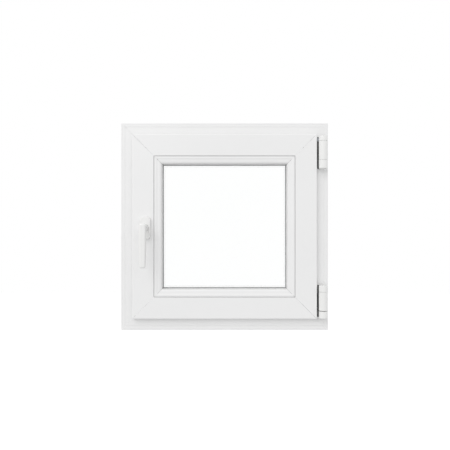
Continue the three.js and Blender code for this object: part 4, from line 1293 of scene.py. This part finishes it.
# %% Profile plastic
plastic_level, plastic_upright = (
    surface(f"profile_plastic_{way}", lights(246, 246, 246), lights(242, 242, 242), cloud_size=3.0,
            gloss=(0.27, 0.40), height=0.007, strength=0.5, stretch=stretch, dusty=0.22, IOR=1.53)
    for way, stretch in (("level", (2.0, 700.0, 700.0)), ("upright", (700.0, 700.0, 2.0))))

# %% [markdown]
# ## White coat
# The handle and the hinge sleeves are powder coated. Baked powder leaves a faint orange-peel texture
# under a smoother gloss than the plastic's.

# %% White coat
white_coat = surface(
    "white_coat", lights(245, 245, 244), lights(241, 241, 240), cloud_size=12.0, gloss=(0.18, 0.27),
    height=0.03, strength=0.5, fineness=650.0, dusty=0.15, IOR=1.5)

# %% [markdown]
# ## Rubber, dark plastics and sealant
# The seals are mid-grey rubber with a matt, slightly dusty skin. The packers under the glass are dark
# moulded plastic, and the near-black sheets behind the hinges are painted shade. All use the same groups
# with other values.

# %% Rubber and dark plastics
seal_rubber, painted_shade_plastic, packer_plastic, sealant_black = (
    surface(name, lights(*light), lights(*dark), cloud_size=40.0, gloss=gloss, height=height,
            strength=0.7, fineness=fineness, dusty=0.3, IOR=1.5)
    for name, light, dark, fineness, gloss, height in (
        ("seal_rubber", (138, 139, 141), (116, 118, 120), 1600.0, (0.62, 0.82), 0.05),
        # near-black plastic for the sheets behind the hinges, which are painted shade
        ("painted_shade_plastic", (34, 35, 37), (22, 23, 25), 900.0, (0.45, 0.6), 0.04),
        ("packer_plastic", (82, 86, 90), (66, 70, 74), 700.0, (0.4, 0.55), 0.05),
        ("sealant_black", (40, 40, 42), (26, 26, 28), 300.0, (0.5, 0.7), 0.3)))

# %% [markdown]
# ## Metals
# Hot-dip zinc on the reinforcement freezes into flat crystals, the spangle, each with its own shade.
# A Voronoi texture gives such cells. The locking gear is electroplated instead: even, slightly blue,
# with the fine lines of rolled strip. The hinge cores have the same plating, darkened; the dark is partly
# their finish and partly painted shade in the narrow gap beside the hinges.

# %% Group: spangle
spangle, spangle_in, spangle_out = node_group(
    "zinc_spangle", ("Color", "Roughness", "Height"), ("Light", "Dark"), Size=90.0)
crystals = add_node(spangle, "TexVoronoi", Randomness=1.0)
crystal_shade = add_node(spangle, "SeparateColor")
crystal_gloss = add_node(spangle, "MapRange", To_Min=0.28, To_Max=0.5)
crystal_colour = mix_colours(
    spangle, crystal_shade.outputs["Red"], spangle_in.outputs["Dark"], spangle_in.outputs["Light"])
spangle.links.new(crystal_colour, spangle_out.inputs["Color"])
wire(spangle,
     (spangle_in, "Place", crystals, "Vector"), (spangle_in, "Size", crystals, "Scale"),
     (crystals, "Color", crystal_shade, "Color"), (crystal_shade, "Green", crystal_gloss, "Value"),
     (crystal_gloss, "Result", spangle_out, "Roughness"), (crystals, "Distance", spangle_out, "Height"))

# %% Galvanised steel
galvanised, tree, shader = new_material("galvanised_steel", Metallic=1.0)
cells = place_group(tree, spangle, Place=on_the_piece(tree), Size=110.0,
                    Light=lights(196, 200, 204), Dark=lights(150, 155, 160))
dress_shader(tree, shader, cells, cells, height=0.05, strength=0.3)

# %% Plated and plain metals
plated_level, plated_upright, dark_steel_and_shade, bright_steel, spacer_metal = (
    surface(name, lights(*light), lights(*dark), cloud_size=35.0, gloss=gloss, height=0.02,
            strength=0.5, stretch=stretch, Metallic=1.0)
    for name, light, dark, stretch, gloss in (
        ("zinc_plated_level", (205, 209, 214), (176, 181, 188), (30, 1500, 1500), (0.26, 0.4)),
        ("zinc_plated_upright", (205, 209, 214), (176, 181, 188), (1500, 1500, 30), (0.26, 0.4)),
        # the darkened hinge core is partly its finish and partly painted shade in the gap beside the hinges
        ("hinge_core_steel_and_shade", (74, 76, 80), (52, 54, 58), (900, 900, 60), (0.38, 0.52)),
        ("bright_steel", (178, 180, 184), (150, 152, 156), (1200, 1200, 60), (0.22, 0.34)),
        ("spacer_aluminium", (214, 216, 218), (196, 198, 200), (40, 1200, 40), (0.3, 0.42))))

# %% [markdown]
# ## Glass
# Clean float glass is all transmission: the shader's own Transmission Weight is 1 and its roughness is
# near 0. It isn't perfect, though. Wiping leaves a faint film, which a noise turns into tiny changes
# of roughness, and the floating leaves a very slight wave.

# %% Glass
clear_glass = surface(
    "clear_glass", WHITE, (0.992, 0.998, 0.996, 1), cloud_size=4.0, gloss=(0.0, 0.015),
    height=0.01, strength=0.2, fineness=5.0, IOR=1.52, Transmission_Weight=1.0)

# %% [markdown]
# # Putting the window together
# Each new piece says which body it moves with, which finish it has and which loaded part it stands for.
# The frame stays, the sash turns and tilts, the stay arm swings, and the handle turns on the sash.

# %% Slot and finish of each kind of surface
rubber = ("seal_rubber", seal_rubber)
coated = ("white_coated_metal", white_coat)
glass = ("clear_glass", clear_glass)
# darkened hinge steel: partly its finish, partly painted shade in the gap beside the hinges
hinge_steel_and_shade = ("plain_steel", dark_steel_and_shade)
screw_steel = ("plain_steel", bright_steel)
# the dark sheets behind the hinges are painted shade; they use the packers' slot
shade_sheet_finish = ("packer_plastic", painted_shade_plastic)


def profile_finish(side):
    """The grain of a bar runs along it."""
    return "upvc", plastic_level if side in ("bottom", "top") else plastic_upright


# %% Frame pieces
for side, node in frame_sides.items():
    finished(frame_bars[side], "frame", *profile_finish(side), node)
finished(frame_seal, "frame", *rubber, "frame_gasket")
for hood, node in zip(drain_hoods, ("drain_cover_left", "drain_cover_right")):
    finished(hood, "frame", *coated, node)

# %% Sash pieces
for side, node in sash_sides.items():
    finished(sash_bars[side], "sash", *profile_finish(side), node)
    finished(beads[side], "sash", *profile_finish(side), bead_sides[side])
finished(sash_seal, "sash", *rubber, "sash_gasket")
finished(room_glass_seal, "sash", *rubber, "glazing_gasket_room")
finished(outer_glass_seal, "sash", *rubber, "glazing_gasket_outer")
finished(room_pane, "sash", *glass, "glass_pane_room")
finished(outer_pane, "sash", *glass, "glass_pane_outer")
finished(spacer_bar, "sash", "spacer_aluminium", spacer_metal, "glass_spacer")
finished(edge_sealant, "sash", "seal_rubber", sealant_black)

# %% Handle pieces
finished(lever, "handle", *coated, "handle_lever")
finished(plate, "sash", *coated, "handle_cover")

# %% Hinge pieces
finished(washer, "frame", *coated)
finished(bearing_sleeve, "frame", *coated, "bottom_hinge_bearing")
finished(bottom_foot, "frame", *hinge_steel_and_shade)
# the dark sheets behind the hinges are painted shade
finished(bottom_shade_sheet, "frame", *shade_sheet_finish)
finished(band_sleeve, "sash", *coated, "bottom_hinge_band")
finished(band_core, "sash", *hinge_steel_and_shade)
finished(bottom_cap, "sash", *coated, "bottom_hinge_cap")
finished(top_sleeve, "frame", *coated, "top_hinge_bearing")
finished(top_foot, "frame", *hinge_steel_and_shade)
finished(top_shade_sheet, "frame", *shade_sheet_finish)
finished(top_cap, "frame", *coated, "top_hinge_cap")
finished(knuckle_sleeve, "stay_arm", *coated)
finished(stay_arm, "stay_arm", "zinc_hardware", plated_level, "stay_arm")

# %% [markdown]
# ## Hardware that is kept
# The steel, the rods, the plates and the gearbox are right as they were loaded. They keep their meshes
# and get a finish. Their meshes are loose triangles, so a Weld modifier joins them before a Bevel
# softens their sharp edges.

# %% Dressing the loaded parts
def dress(material, width, *nodes):
    """Gives loaded parts a finish and soft edges of that width in millimetres."""
    for node in nodes:
        part = frame["nodes"][node]
        part.data.materials.clear()
        part.data.materials.append(material)
        weld = part.modifiers.new("weld", "WELD")
        weld.merge_threshold = mm(0.01)
        edges = part.modifiers.new("soft_edges", "BEVEL")
        edges.width = mm(width)
        edges.segments = 2
        edges.limit_method = "ANGLE"
        edges.angle_limit = math.radians(40)


dress(galvanised, 0.2, *(f"{node}_steel" for node in (*frame_sides.values(), *sash_sides.values())))
dress(plated_level, 0.3, "keep_top", "keep_bottom_tilt", "stay_arm_guide", "faceplate_top",
      "faceplate_bottom", "drive_rod_top", "drive_rod_bottom")
dress(plated_upright, 0.3, "keep_handle_side_upper", "keep_handle_side_lower", "faceplate_handle_side",
      "drive_rod_handle_side", "gearbox_case", "handle_base")
dress(bright_steel, 0.15, "bottom_hinge_swivel", "top_hinge_pin", "handle_screw_upper",
      "handle_screw_lower", "handle_spindle", "gearbox_pinion")
dress(packer_plastic, 0.4, *(
    f"glazing_packer_{place}" for place in ("bottom_left", "bottom_right", "handle_side", "hinge_side")))
kept = [name for name, part in frame["nodes"].items() if not part.hide_render]
print(len(kept), "loaded parts are kept")

# %% Screw heads
for screw in plate_screws:
    finished(screw, "sash", *screw_steel)
for screw in keep_screws:
    finished(screw, "frame", *screw_steel)

# %% [markdown]
# ## Floor
# The floor is plain and pale, and lies where a room's floor would be, a good way below the window. It
# looks white to the camera, to reflections and through the glass, but the light that falls on it still
# shows, so that it keeps the window's soft shadow.

# %% Floor
floor_size, floor_height, floor_glow = 14, -0.9, 0.5
let_go()
bpy.ops.mesh.primitive_plane_add(size=floor_size, location=(0, 0, floor_height))
floor = bpy.context.object
floor.name = "floor"
floor_material, tree, shader = new_material("pale_floor", Roughness=0.9)
floor_tone = place_group(
    tree, clouding, Place=on_the_piece(tree), Size=1.5, Light=(0.6, 0.6, 0.6, 1), Dark=(0.57, 0.57, 0.57, 1))
glow = add_node(tree, "Emission", Strength=floor_glow)
glowing_floor = add_node(tree, "AddShader")
wire(tree,
     (floor_tone, "Color", shader, "Base Color"), (shader, 0, glowing_floor, 0), (glow, 0, glowing_floor, 1))
show_either(tree, shader, glowing_floor, tree.nodes["Material Output"])
floor.data.materials.append(floor_material)
print("floor", round(floor.location.z, 2), "m")
